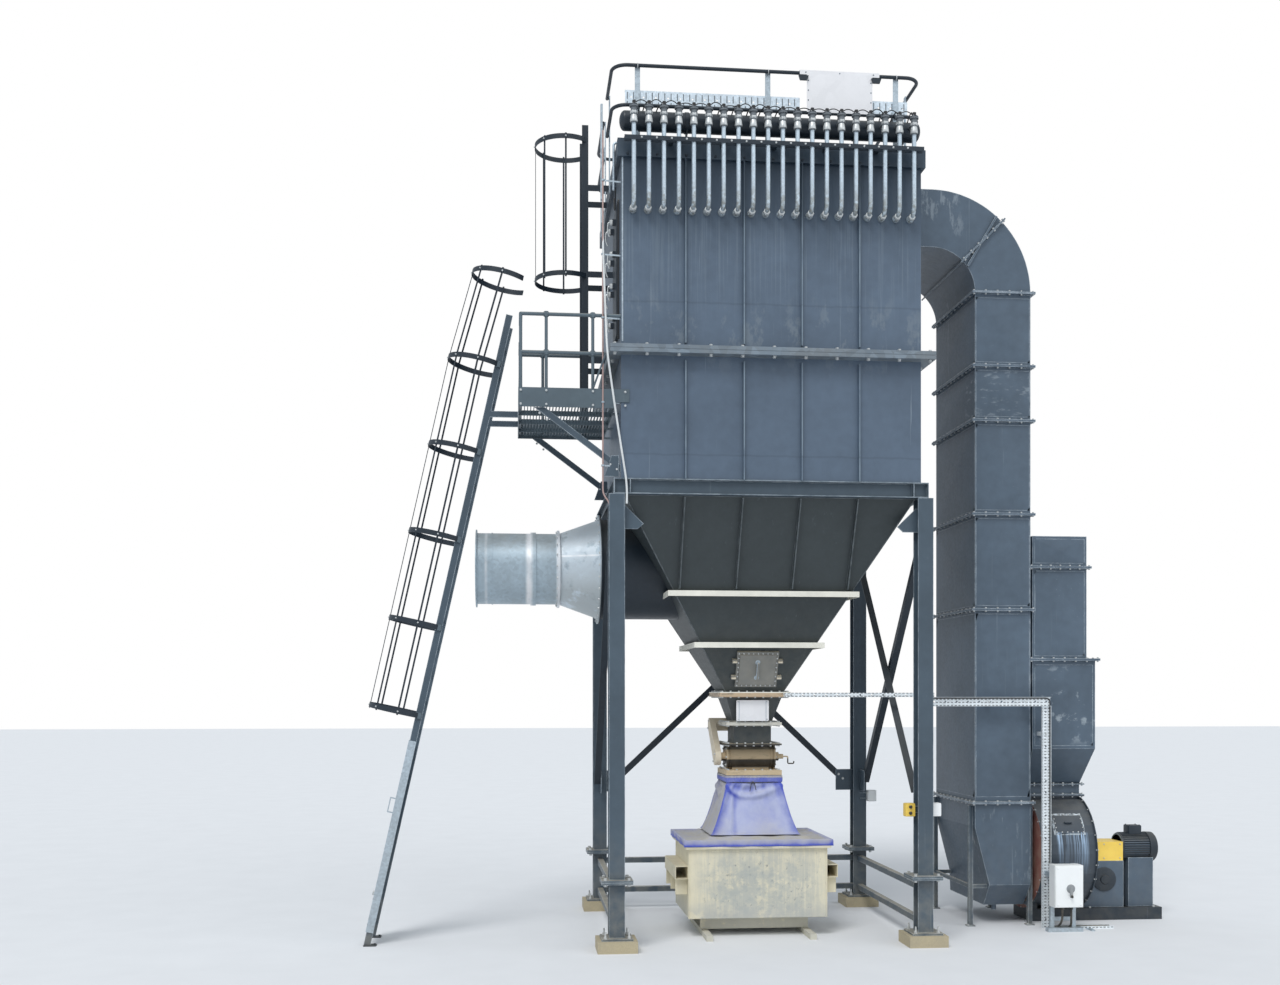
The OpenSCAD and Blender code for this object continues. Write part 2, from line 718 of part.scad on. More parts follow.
// Places a piece of the sloping lower ladder
module on_slope() translate([foot_x, lower_ladder_y, 0]) rotate([0, ladder_tilt, 0]) children();

module lower_ladder() color(dark_paint) site() {
    difference() {
        on_slope() translate([0, 0, -100]) stiles(ladder_l + 100);
        translate([foot_x - 500, lower_ladder_y - 500, -500]) cube([1000, 1000, 500]);
    }
    // Hinge brackets and pins for the guard
    on_slope() for (z = guard_hinges) {
        block([hinge_x - 8, ladder_w / 2 + stile_t - 1, z - 12], [-stile_d / 2 + 15, hinge_y + 8, z - 2]);
        translate([hinge_x, hinge_y, z - 12]) cylinder(r = hinge_r, h = knuckle_l + 18);
    }
    // Link plates to the platform
    for (s = [-1, 1]) {
        y = lower_ladder_y + (s > 0 ? ladder_w / 2 : -ladder_w / 2 - stile_t);
        x = foot_x + (deck_z - 30) * tan(ladder_tilt) + stile_d / 2;
        block([x - 10, y, deck_z - deck_frame], [deck_x0, y + stile_t, deck_z]);
    }
}

// Rungs of both ladders, from stile to stile
module ladder_rungs() color(dark_paint) site() {
    on_upper() rungs(rung_pitch, upper_ladder_l - 60);
    on_slope() rungs(rung_pitch - 100, ladder_l - 60);
}

// Heights of the hoops; the topmost of the lower cage stands nearer the platform
upper_hoops = [1490, upper_ladder_l - 175];
lower_hoop_z = 2257;
hoop_pitch = 880;
lower_hoops = [for (i = [0:4]) lower_hoop_z + i * hoop_pitch];
last_hoop = lower_hoop_z + 5 * hoop_pitch;
last_shift = 45;
module cage_hoops() color(dark_paint) site() {
    on_upper() for (z = upper_hoops) hoop(z);
    on_slope() {
        for (z = lower_hoops) hoop(z);
        translate([last_shift, 0, 0]) hoop(last_hoop);
    }
}

module cage_straps() color(dark_paint) site() for (a = strap_angles) {
    on_upper() strap(a, upper_hoops[0] - strap_end, upper_hoops[1] + hoop_h + strap_end);
    bend = lower_hoops[4] + hoop_h;
    on_slope() {
        strap(a, lower_hoop_z - strap_end, bend);
        hull() {
            strap(a, bend - 1, bend);
            translate([last_shift, 0, 0]) strap(a, last_hoop - 1, last_hoop);
        }
        translate([last_shift, 0, 0]) strap(a, last_hoop - 1, last_hoop + hoop_h + strap_end);
    }
}

// Sheet guard that shuts off the lower ladder, hinged on the far stile
guard_z = 130;
guard_gap = 6;
guard_x = -stile_d / 2 - guard_gap;
hinge_r = 8;
knuckle_r = hinge_r + 5;
hinge_x = guard_x - sheet_t - 3;
hinge_y = ladder_w / 2 + stile_t + 5 + knuckle_r;
guard_hinges = [350, 1600];
knuckle_l = 60;
module ladder_guard() color(galvanised) site() on_slope() {
    y0 = -ladder_w / 2 - stile_t - guard_gap;
    translate([guard_x - sheet_t, y0 - sheet_t, guard_z])
        cube([sheet_t, ladder_w / 2 + stile_t - 5 - y0 + sheet_t, guard_l]);
    translate([guard_x - sheet_t, y0 - sheet_t, guard_z])
        cube([stile_d + guard_gap + sheet_t, sheet_t, guard_l]);
    for (z = guard_hinges) {
        difference() {
            union() {
                translate([hinge_x, hinge_y, z]) cylinder(r = knuckle_r, h = knuckle_l);
                translate([hinge_x - 3, hinge_y - 90, z]) cube([6.5, 90, knuckle_l]);
            }
            translate([hinge_x, hinge_y, z - 1]) cylinder(r = hinge_r + 0.1, h = knuckle_l + 2);
        }
    }
    // D handle
    for (z = [1300, 1440]) translate([guard_x - 60, y0 + 40, z]) cube([60, 10, 12]);
    translate([guard_x - 60, y0 + 40, 1300]) cube([10, 10, 152]);
}

// Inlet duct: round tube with a flange at each end, open through
module tube_x(x0, x1, r0, r1, wall) translate([x0, 0, 0]) rotate([0, 90, 0]) difference() {
    cylinder(r1 = r0, r2 = r1, h = x1 - x0, $fn = 64);
    translate([0, 0, -0.01]) cylinder(r1 = r0 - wall, r2 = r1 - wall, h = x1 - x0 + 0.02, $fn = 64);
}

module ring_x(x, r0, r1, t) translate([x, 0, 0]) rotate([0, 90, 0]) difference() {
    cylinder(r = r1, h = t, $fn = 64);
    translate([0, 0, -1]) cylinder(r = r0, h = t + 2, $fn = 64);
}

module inlet_duct() color(galvanised) site() translate([0, 0, inlet_z]) {
    tube_x(inlet_x, cone_x, inlet_r, inlet_r, duct_wall);
    difference() {
        ring_x(inlet_x, inlet_r - 1, inlet_r + duct_flange_w, duct_flange_t);
        for (i = [0:inlet_bolts - 1]) rotate([i * 360 / inlet_bolts, 0, 0])
            translate([inlet_x - 1, 0, inlet_pcd / 2]) rotate([0, 90, 0])
                cylinder(r = inlet_bolt_r, h = duct_flange_t + 2, $fn = 24);
    }
    ring_x(cone_x - duct_flange_t, inlet_r - 1, inlet_r + duct_flange_w, duct_flange_t);
    ring_x(-2300, inlet_r - 1, inlet_r + 12, 55);
    ring_x(-2700, inlet_r - 1, inlet_r + 5, 14);
}

module inlet_cone() color(galvanised) site() translate([0, 0, inlet_z]) {
    tube_x(cone_x, spigot_x, inlet_r, spigot_r, duct_wall);
    ring_x(cone_x, inlet_r - 1, inlet_r + duct_flange_w, duct_flange_t);
    ring_x(spigot_x - duct_flange_t, spigot_r - duct_wall / 2, spigot_r + 50, duct_flange_t);
}

module hopper_solid() hull() {
    block([-hopper_cx, -hopper_cy, beam_low - hopper_edge], [hopper_cx, hopper_cy, beam_low]);
    block([-hopper_out / 2, -hopper_out / 2, hopper_z],
        [hopper_out / 2, hopper_out / 2, hopper_z + hopper_edge]);
}

module inlet_spigot() color(dark_paint) site() difference() {
    translate([0, 0, inlet_z]) {
        tube_x(spigot_x, -hopper_x(inlet_z - spigot_r) + 60, spigot_r, spigot_r, duct_wall);
        ring_x(spigot_x, spigot_r - 1, spigot_r + 50, duct_flange_t);
    }
    hopper_solid();
}

module hopper() color(paint) site() {
    hopper_solid();
    // Collar inside the beams, up to the casing
    x = lx + beam_out_x - beam_w;
    y = ly + beam_out_y - beam_w;
    block([-x, -y, beam_low], [x, y, beam_z]);
    // Flat ribs down the front and rear slopes
    z0 = ring1_z + 30;
    z1 = beam_low - 20;
    for (s = [0, 180], i = [-1.5:1.5])
        rotate([0, 0, s]) translate([i * rib_pitch - 6, 0, 0]) rotate([90, 0, 90]) linear_extrude(12)
            polygon([[-hopper_y(z1) - 55, z1], [-hopper_y(z0) - 55, z0], [-hopper_y(z0) + 10, z0],
                [-hopper_y(z1) + 10, z1]]);
}

ring_t = 10;
lip_h = 45;
module hopper_rings() color(paint) site() difference() {
    for (z = [ring1_z, ring2_z, hopper_z]) {
        x = hopper_x(z) + ring_w;
        y = hopper_y(z) + ring_w;
        frame_plate(x, y, hopper_x(z) - 40, hopper_y(z) - 40, z, ring_t);
        if (z > hopper_z) frame_plate(x, y, x - 8, y - 8, z - lip_h, lip_h + 1);
    }
    hopper_solid();
    translate([0, 0, inlet_z]) rotate([0, -90, 0]) cylinder(r = spigot_r + 1, h = 3000);
}

// Bolted hatch on the front slope
hatch_z = 2700;
module on_front_slope(z) translate([0, -hopper_y(z), z]) rotate([hopper_lean, 0, 0]) children();

module inspection_hatch() color(dark_paint) site() on_front_slope(hatch_z) {
    block([-hatch_w / 2, -30, -hatch_w / 2 + 20], [hatch_w / 2, 0, hatch_w / 2 - 20]);
    block([-hatch_w / 2 + 30, -42, -hatch_w / 2 + 50], [hatch_w / 2 - 30, -29, hatch_w / 2 - 50]);
    for (z = [-90, 80]) block([-6, -90, z], [6, -41, z + 12]);
    block([-6, -96, -90], [6, -84, 92]);
    for (s = [-1, 1], z = [-110, 70])
        block([s * (hatch_w / 2 + 20) - 25, -40, z], [s * (hatch_w / 2 + 20) + 25, 0, z + 40]);
}

// Short square hopper below the outlet flange, and the throat down to the valve
out_flange_z = 2130;
module hopper_outlet() color(paint) site() {
    frame_top = hopper_out / 2 + ring_w;
    block([-frame_top, -frame_top, hopper_z - 40], [frame_top, frame_top, hopper_z]);
    hull() {
        block([-hopper_out / 2 + 10, -hopper_out / 2 + 10, hopper_z - 41],
            [hopper_out / 2 - 10, hopper_out / 2 - 10, hopper_z - 40]);
        block([-throat_w / 2, -throat_w / 2, out_flange_z],
            [throat_w / 2, throat_w / 2, out_flange_z + 20]);
    }
    block([-valve_flange_w / 2, -valve_flange_w / 2, out_flange_z - 16],
        [valve_flange_w / 2, valve_flange_w / 2, out_flange_z + 16]);
    block([-throat_w / 2, -throat_w / 2, valve_top], [throat_w / 2, throat_w / 2, out_flange_z]);
}

valve_top = valve_z + valve_r + 20;
valve_bottom = valve_z - valve_r - 55;
valve_l = 500;
neck_y = 75;
module rotary_valve() color(dark_paint) site() {
    block([-valve_flange_w / 2, -valve_flange_w / 2, valve_top - 16],
        [valve_flange_w / 2, valve_flange_w / 2, valve_top]);
    block([-throat_w / 2, -neck_y, valve_z], [throat_w / 2, neck_y, valve_top - 10]);
    translate([-valve_l / 2, 0, valve_z]) rotate([0, 90, 0]) cylinder(r = valve_r, h = valve_l);
    for (s = [-1, 1]) translate([s * valve_l / 2 - 8, 0, valve_z]) rotate([0, 90, 0])
        cylinder(r = valve_r + 18, h = 16);
    for (s = [-1, 1]) translate([s * (valve_l / 2 + 30) - 30, 0, valve_z]) rotate([0, 90, 0])
        cylinder(r = 45, h = 60);
    block([-throat_w / 2, -neck_y, valve_bottom + 20], [throat_w / 2, neck_y, valve_z]);
    block([-valve_flange_w / 2, -valve_flange_w / 2, valve_bottom],
        [valve_flange_w / 2, valve_flange_w / 2, valve_bottom + 50]);
}

// Chain guard leaning back on the left, and the geared motor behind it
chain_x = -valve_l / 2 - 120;
motor_y = 390;
motor_z = valve_z + 330;
module valve_drive() color(dusty) site() {
    hull() {
        translate([chain_x, 0, valve_z]) rotate([0, 90, 0]) cylinder(r = 90, h = 60, $fn = 32);
        translate([chain_x, motor_y, motor_z]) rotate([0, 90, 0]) cylinder(r = 70, h = 60, $fn = 32);
    }
    translate([chain_x + 59, motor_y, motor_z]) rotate([0, 90, 0]) cylinder(r = 70, h = 330);
}

// Fabric sleeve from the valve to the bin, and the fabric cover over the bin's rim
bin_x = -30;
bin_y = -160;
cover_w = bin_w + 120;
cover_d = bin_d + 110;
cover_top = bin_z + 55;
sleeve_top = 300;
sleeve_x = 480;
sleeve_y = 365;
sleeve_mid_y = -95;
module sleeve() color([0.45, 0.52, 0.80]) site() hull() {
    block([-sleeve_top, -sleeve_top, valve_bottom - 60], [sleeve_top, sleeve_top, valve_bottom]);
    block([-sleeve_x, sleeve_mid_y - sleeve_y, cover_top],
        [sleeve_x, sleeve_mid_y + sleeve_y, cover_top + 12]);
}

module bin_cover() color([0.45, 0.52, 0.80]) site() translate([bin_x, bin_y, 0]) difference() {
    block([-cover_w / 2, -cover_d / 2, bin_z - 15], [cover_w / 2, cover_d / 2, cover_top]);
    block([-bin_w / 2 - 41, -bin_d / 2 - 41, bin_z - 100], [bin_w / 2 + 41, bin_d / 2 + 41, bin_z]);
}

bin_floor = 190;
module dust_bin() color(dusty) site() translate([bin_x, bin_y, 0]) {
    difference() {
        block([-bin_w / 2, -bin_d / 2, bin_floor], [bin_w / 2, bin_d / 2, bin_z]);
        block([-bin_w / 2 + bin_wall, -bin_d / 2 + bin_wall, bin_floor + bin_wall],
            [bin_w / 2 - bin_wall, bin_d / 2 - bin_wall, bin_z + 1]);
    }
    // Folded rim
    difference() {
        block([-bin_w / 2 - 40, -bin_d / 2 - 40, bin_z - 50], [bin_w / 2 + 40, bin_d / 2 + 40, bin_z]);
        block([-bin_w / 2 + 1, -bin_d / 2 + 1, bin_z - 51], [bin_w / 2 - 1, bin_d / 2 - 1, bin_z + 1]);
    }
}

// Square tubes on the sides of the bin for lifting forks, open at both ends
pocket_z = 580;
module fork_pockets() color(dusty) site() translate([bin_x, bin_y, pocket_z])
    for (s = [-1, 1]) translate([s * (bin_w / 2 + pocket_w / 2), 0, 0]) difference() {
        block([-pocket_w / 2, -bin_d / 2 + 60, 0], [pocket_w / 2, bin_d / 2 - 60, pocket_w]);
        block([-pocket_w / 2 + 6, -bin_d / 2, 6], [pocket_w / 2 - 6, bin_d / 2, pocket_w - 6]);
    }

// Two rails on the ground that run out in front, and two cross beams under the floor
skid_x = 520;
skid_w = 65;
skid_h = 55;
skid_nose = 200;
skid_beam = 80;
module bin_skids() color(dusty) site() translate([bin_x, bin_y, 0]) {
    for (s = [-1, 1])
        block([s * skid_x - skid_w / 2, -bin_d / 2 - skid_nose, 0],
            [s * skid_x + skid_w / 2, bin_d / 2, skid_h]);
    for (y = [-bin_d / 2 + skid_nose, bin_d / 2 - skid_nose - skid_beam])
        block([-skid_x - skid_w / 2, y, skid_h - 1], [skid_x + skid_w / 2, y + skid_beam, bin_floor]);
}

// Flange round the outlet duct
module outlet_flange(z, t)
    block([outlet_x - outlet_flange_w, outlet_y - outlet_flange_w, z],
        [outlet_x + outlet_w + outlet_flange_w, outlet_y + outlet_d + outlet_flange_w, z + t]);

// Outlet: collar and elbow of rectangular section, rolled about an axis across the front
module outlet_elbow() color(paint) site() {
    block([cx, outlet_y, elbow_z + elbow_r], [elbow_x + 1, outlet_y + outlet_d, roof_z]);
    translate([elbow_x, outlet_y + outlet_d, elbow_z]) rotate([90, 0, 0]) rotate_extrude(angle = 90)
        translate([elbow_r, 0]) square([outlet_w, outlet_d]);
    // Flanges at the casing, at mid bend and at the lower end
    block([cx + band_d + 1, outlet_y - 40, elbow_z + elbow_r - 40],
        [cx + band_d + 25, outlet_y + outlet_d + 40, roof_z - 1]);
    translate([elbow_x, outlet_mid_y, elbow_z]) rotate([0, -45, 0])
        block([elbow_r - 35, -outlet_d / 2 - 35, -8], [elbow_r + outlet_w + 35, outlet_d / 2 + 35, 8]);
    outlet_flange(elbow_z, outlet_flange_t / 2);
}

module outlet_duct() color(paint) site() {
    block([outlet_x, outlet_y, plenum_z], [outlet_x + outlet_w, outlet_y + outlet_d, elbow_z]);
    for (z = outlet_joints) outlet_flange(z, outlet_flange_t);
    outlet_flange(elbow_z - outlet_flange_t / 2, outlet_flange_t / 2);
    outlet_flange(plenum_z, outlet_flange_t / 2);
}

// Plenum at the foot of the outlet: its left side slopes in, then its front slopes back
plenum_knee = 1042;
plenum_weld = 437;
plenum_low = 200;
plenum_in = 155;
plenum_back = 200;
module plenum_solid() {
    right = outlet_x + outlet_w;
    intersection() {
        translate([0, outlet_y + outlet_d, 0]) rotate([90, 0, 0]) linear_extrude(outlet_d)
            polygon([[outlet_x, plenum_z], [outlet_x, plenum_knee], [outlet_x + plenum_in, plenum_weld],
                [outlet_x + plenum_in + 10, plenum_low], [right, plenum_low], [right, plenum_z]]);
        translate([outlet_x, outlet_y, 0]) rotate([90, 0, 90]) linear_extrude(outlet_w)
            polygon([[0, plenum_z], [0, plenum_weld], [plenum_back, plenum_low],
                [outlet_d, plenum_low], [outlet_d, plenum_z]]);
    }
}

module outlet_plenum() color(paint) site() {
    plenum_solid();
    outlet_flange(plenum_z - outlet_flange_t / 2, outlet_flange_t / 2);
    // Drain
    translate([outlet_x + 300, outlet_y + plenum_back + 60, plenum_low - 60])
        cylinder(r = 25, h = 61, $fn = 24);
}

plenum_leg = 45;
foot_t = 10;
stand_top = plenum_z - 30;
stand_bar = 40;
module plenum_stand() color(paint) site() {
    right = outlet_x + outlet_w;
    front = outlet_y + 60;
    rear = outlet_y + outlet_d - 20 - plenum_leg;
    for (x = [outlet_x - plenum_leg, right], y = [front, rear]) {
        block([x, y, 0], [x + plenum_leg, y + plenum_leg, stand_top]);
        block([x - 20, y - 20, 0], [x + plenum_leg + 20, y + plenum_leg + 20, foot_t]);
    }
    // Bars from the left legs to the plenum, and along the two sides
    difference() {
        for (y = [front, rear])
            block([outlet_x - 1, y + 10, plenum_weld - stand_bar],
                [outlet_x + plenum_in + 50, y + plenum_leg - 10, plenum_weld]);
        plenum_solid();
    }
    for (t = [[outlet_x - plenum_leg, plenum_weld - stand_bar], [right, plenum_low]])
        block([t[0] + 10, front, t[1]], [t[0] + plenum_leg - 10, rear + plenum_leg - 10, t[1] + stand_bar]);
}

// Scroll outline in the YZ plane: a spiral that grows from the top round the front and
// the bottom to the rear, and the upright throat above the rear half
scroll_min = scroll_r - 80;
rim_w = 25;
rim_t = 8;
function scroll_at(a) = scroll_min + (scroll_r - scroll_min) * a / 270;
function scroll_point(a, grow) = [-(scroll_at(a) + grow) * sin(a), (scroll_at(a) + grow) * cos(a)];
module scroll_outline(grow)
    polygon(concat([for (a = [20:10:270]) scroll_point(a, grow)],
        [[scroll_r + grow, scroll_top - fan_z], [scroll_r - throat_d - grow, scroll_top - fan_z],
            [scroll_r - throat_d - grow, scroll_at(20) * cos(20)]]));

module along_x(x, len) translate([x, fan_y, fan_z]) rotate([90, 0, 90]) linear_extrude(len) children();

// Curved access cover on the front of the scroll, between two angles, with its handle
cover_a0 = 47;
cover_a1 = 69;
cover_x0 = scroll_x + 165;
cover_len = 316;
module fan_scroll() color(paint) site() {
    along_x(scroll_x, scroll_w) scroll_outline(0);
    for (x = [scroll_x, scroll_x + scroll_w - rim_t])
        along_x(x, rim_t) intersection() {
            scroll_outline(rim_w);
            translate([-2000, -2000]) square([4000, 2000 + scroll_top - fan_z - 20]);
        }
    block([scroll_x - 40, throat_y0 - 40, scroll_top - 12],
        [scroll_x + scroll_w + 40, throat_y1 + 40, scroll_top]);
    along_x(cover_x0, cover_len)
        polygon(concat([for (a = [cover_a0:2:cover_a1]) scroll_point(a, 12)],
            [for (a = [cover_a1:-2:cover_a0]) scroll_point(a, -10)]));
    along_x(cover_x0 + 110, 80) rotate((cover_a0 + cover_a1) / 2)
        translate([-7, scroll_min]) square([14, 60]);
    // Bearing side boss
    translate([scroll_x + scroll_w - 1, fan_y, fan_z]) rotate([0, 90, 0]) cylinder(r = 150, h = 30);
}

fan_eye_r = 370;
module fan_inlet_cone() color([0.45, 0.20, 0.15]) site() translate([outlet_x + outlet_w, fan_y, fan_z])
    rotate([0, 90, 0]) {
        cylinder(r1 = fan_eye_r - 15, r2 = fan_eye_r - 70, h = scroll_x - outlet_x - outlet_w);
        cylinder(r = fan_eye_r, h = 12);
    }

// Discharge duct: a short neck on the throat, a taper, a wide box, a narrower one and a
// turn to the rear, where it is open
neck_top = 1472;
taper_top = 1860;
wide_top = 2815;
turn_z = 3778;
upper_w = discharge_w - 95;
upper_x1 = discharge_x + upper_w;
duct_lip = 40;
duct_lip_t = 24;
module discharge_duct() color(paint) site() {
    dx1 = discharge_x + discharge_w;
    sx1 = scroll_x + scroll_w;
    difference() {
        union() {
            block([scroll_x, throat_y0, scroll_top], [sx1, throat_y1, neck_top]);
            hull() {
                block([scroll_x, throat_y0, neck_top - 1], [sx1, throat_y1, neck_top]);
                block([discharge_x, discharge_y, taper_top], [dx1, throat_y1, taper_top + 1]);
            }
            block([discharge_x, discharge_y, taper_top], [dx1, throat_y1, wide_top]);
            block([discharge_x, discharge_y, wide_top - 1], [upper_x1, throat_y1, discharge_top]);
            block([discharge_x, discharge_y, turn_z], [upper_x1, discharge_end_y, discharge_top]);
            // Flanges: at the throat, above the neck, over the wide box and under the turn
            for (z = [scroll_top, neck_top - 12])
                block([scroll_x - duct_lip, throat_y0 - duct_lip, z],
                    [sx1 + duct_lip, throat_y1 + duct_lip, z + 12]);
            block([discharge_x - duct_lip, discharge_y - duct_lip, wide_top - duct_lip_t],
                [dx1 + duct_lip, throat_y1 + duct_lip, wide_top]);
            block([discharge_x - duct_lip, discharge_y - duct_lip, turn_z - duct_lip_t / 2],
                [upper_x1 + duct_lip, throat_y1 + duct_lip, turn_z + duct_lip_t / 2]);
            block([discharge_x - duct_lip, discharge_end_y - 12, turn_z - duct_lip],
                [upper_x1 + duct_lip, discharge_end_y, discharge_top + duct_lip]);
        }
        // Air way from the turn to the open end, and the holes of its flange
        block([discharge_x + duct_wall, discharge_y + duct_wall, turn_z + duct_wall],
            [upper_x1 - duct_wall, discharge_end_y + 1, discharge_top - duct_wall]);
        for (x = [discharge_x - duct_lip / 2, upper_x1 + duct_lip / 2],
            z = [turn_z - duct_lip / 2, discharge_top + duct_lip / 2])
            translate([x, discharge_end_y + 1, z]) rotate([90, 0, 0]) cylinder(r = 6, h = 20, $fn = 24);
    }
}

// Pedestal with the shaft and bearings, and the motor
module fan_drive() color(dark_paint) site() {
    block([drive_x, fan_y - 160, fan_base_h], [drive_x + pedestal_l, fan_y + 160, fan_z - 130]);
    for (x = [drive_x + 70, drive_x + pedestal_l - 110])
        block([x, fan_y - 70, fan_z - 131], [x + 60, fan_y + 70, fan_z + 40]);
    translate([scroll_x + scroll_w + 29, fan_y, fan_z]) rotate([0, 90, 0])
        cylinder(r = 30, h = motor_x - scroll_x - scroll_w - 28);
    translate([motor_x, fan_y, fan_z]) rotate([0, 90, 0]) cylinder(r = 150, h = motor_l);
    block([motor_x + 60, fan_y - 150, fan_base_h], [motor_x + motor_l - 60, fan_y + 150, fan_z - 100]);
}

// Sheet guard over the shaft and coupling
guard_y = 160;
module drive_guard() color([0.85, 0.70, 0.15]) site() {
    difference() {
        block([drive_x, fan_y - guard_y, fan_z - 130], [motor_x - 6, fan_y + guard_y, fan_z + 75]);
        block([drive_x - 1, fan_y - guard_y + sheet_t, fan_z - 140], [motor_x, fan_y + guard_y - sheet_t,
            fan_z + 75 - sheet_t]);
    }
}

module fan_base() color(dark_paint) site() {
    for (y = [fan_y - 230, fan_y + 170])
        block([scroll_x + 20, y, 0], [motor_end, y + 60, fan_base_h]);
    for (x = [scroll_x + 20, drive_x, motor_x + 60, motor_end - 80])
        block([x, fan_y - 171, 0], [x + 80, fan_y + 171, fan_base_h]);
    // Cradle feet under the scroll
    for (x = [scroll_x + 40, scroll_x + scroll_w - 100], s = [-1, 1])
        difference() {
            block([x, fan_y + s * 200 - 30, fan_base_h - 1], [x + 60, fan_y + s * 200 + 30, 420]);
            along_x(x - 1, 62) scroll_outline(0);
        }
}

isolator_x = 3015;
isolator_y = -700;
isolator_z = 260;
isolator_d = 140;
spindle_r = 5;
isolator_front = isolator_y - isolator_d / 2;
isolator_back = isolator_y + isolator_d / 2;
isolator_top = isolator_z + isolator_h;
handle_x = isolator_x + 0.54 * isolator_w;
handle_z = isolator_z + 0.45 * isolator_h;
module isolator_box() color([0.93, 0.93, 0.92]) site() difference() {
    block([isolator_x, isolator_front, isolator_z], [isolator_x + isolator_w, isolator_back, isolator_top]);
    translate([handle_x, isolator_front - 1, handle_z]) rotate([-90, 0, 0])
        cylinder(r = spindle_r + 0.1, h = 31);
}

module isolator_handle() color([0.55, 0.57, 0.60]) site()
    translate([handle_x, isolator_front, handle_z]) rotate([90, 0, 0]) {
        translate([0, 0, -28]) cylinder(r = spindle_r, h = 40);
        translate([0, 0, 5]) cylinder(r = 30, h = 22);
        hull() {
            translate([0, 0, 20]) cylinder(r = 16, h = 18, $fn = 32);
            translate([0, -80, 20]) cylinder(r = 11, h = 18, $fn = 32);
        }
    }

strut = 41;
tray_y = outlet_y - 120;
module isolator_stand() color(galvanised) site() {
    for (x = [isolator_x + 15, isolator_x + isolator_w - strut - 15])
        block([x, isolator_back, 0], [x + strut, isolator_back + strut, isolator_top]);
    block([isolator_x - 40, isolator_back - 80, 0],
        [isolator_x + isolator_w + 30, isolator_back + 1, strut]);
    block([isolator_x + 50, isolator_back + 10, 100],
        [isolator_x + isolator_w - 50, isolator_back + 30, 100 + strut]);
    // Tie back to the cable tray
    block([isolator_x + 15, isolator_back + strut - 1, 560],
        [isolator_x + 15 + strut, tray_y - sheet_t, 560 + strut]);
}

// Perforated tray across the front of the outlet duct, down to the ground in front of
// the fan and along the ground, on brackets from the ducts
duct_tray_z = 2312;
duct_tray_w = 95;
duct_tray_x0 = 1790;
duct_tray_x1 = 2998;
duct_tray_end = 3740;
duct_tray_lip = 30;
module duct_cable_tray() color(galvanised) site() {
    x2 = duct_tray_x1 + duct_tray_w;
    translate([duct_tray_x0, tray_y - sheet_t, duct_tray_z])
        tray_x(x2 - duct_tray_x0, duct_tray_w, duct_tray_lip, -1);
    translate([duct_tray_x1, tray_y - sheet_t, duct_tray_z + 1]) rotate([0, 90, 0])
        tray_x(duct_tray_z + 1, duct_tray_w, duct_tray_lip, -1);
    translate([x2 - 1, tray_y, 0]) rotate([90, 0, 0])
        tray_x(duct_tray_end - x2, duct_tray_w, duct_tray_lip, 1);
    for (x = [outlet_x + 80, outlet_x + outlet_w - 80 - strut])
        block([x, tray_y - 1, duct_tray_z + 25], [x + strut, outlet_y, duct_tray_z + 25 + strut]);
    block([duct_tray_x1 + 27, tray_y - 1, taper_top + 140],
        [duct_tray_x1 + 27 + strut, discharge_y, taper_top + 140 + strut]);
}

// Channel from the hopper outlet to that tray, resting on its upper edge
hopper_tray_x0 = 285;
module hopper_cable_tray() color(galvanised) site() {
    front = tray_y - 20;
    z = duct_tray_z + duct_tray_w;
    translate([hopper_tray_x0, front, z]) tray_x(duct_tray_x0 + 55 - hopper_tray_x0, strut + 3, strut, 1);
    block([hopper_tray_x0 + 4, front + strut, z],
        [hopper_tray_x0 + 75, -hopper_out / 2 - ring_w, z + strut + 3]);
}

plinths();
stub_legs();
columns();
tie_beams();
diagonal_braces();
gusset_plates();
base_frame();
lower_casing();
joint_flange();
upper_casing();
roof_deck();
access_door();
pipe_rail();
air_tank();
tank_stands();
pulse_valves();
drop_pipes();
guard_posts();
roof_rails();
roof_cable_tray();
hung_panel();
platform_deck();
platform_rails();
platform_braces();
upper_ladder();
lower_ladder();
ladder_rungs();
cage_hoops();
cage_straps();
ladder_guard();
inlet_duct();
inlet_cone();
inlet_spigot();
hopper();
hopper_rings();
inspection_hatch();
hopper_outlet();
rotary_valve();
valve_drive();
sleeve();
bin_cover();
dust_bin();
fork_pockets();
bin_skids();
outlet_elbow();
outlet_duct();
outlet_plenum();
plenum_stand();
fan_scroll();
fan_inlet_cone();
discharge_duct();
fan_drive();
drive_guard();
fan_base();
isolator_box();
isolator_handle();
isolator_stand();
duct_cable_tray();
hopper_cable_tray();
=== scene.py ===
"""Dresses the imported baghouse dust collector: finishes for its solids, and the bolts, wires,
cloth and small fittings that the solids leave out. Metres, +Z up, -Y is the front with the
pulse valves. Places are given from the centre of the four legs on the ground, and piece()
moves them into the part's own frame."""
import math

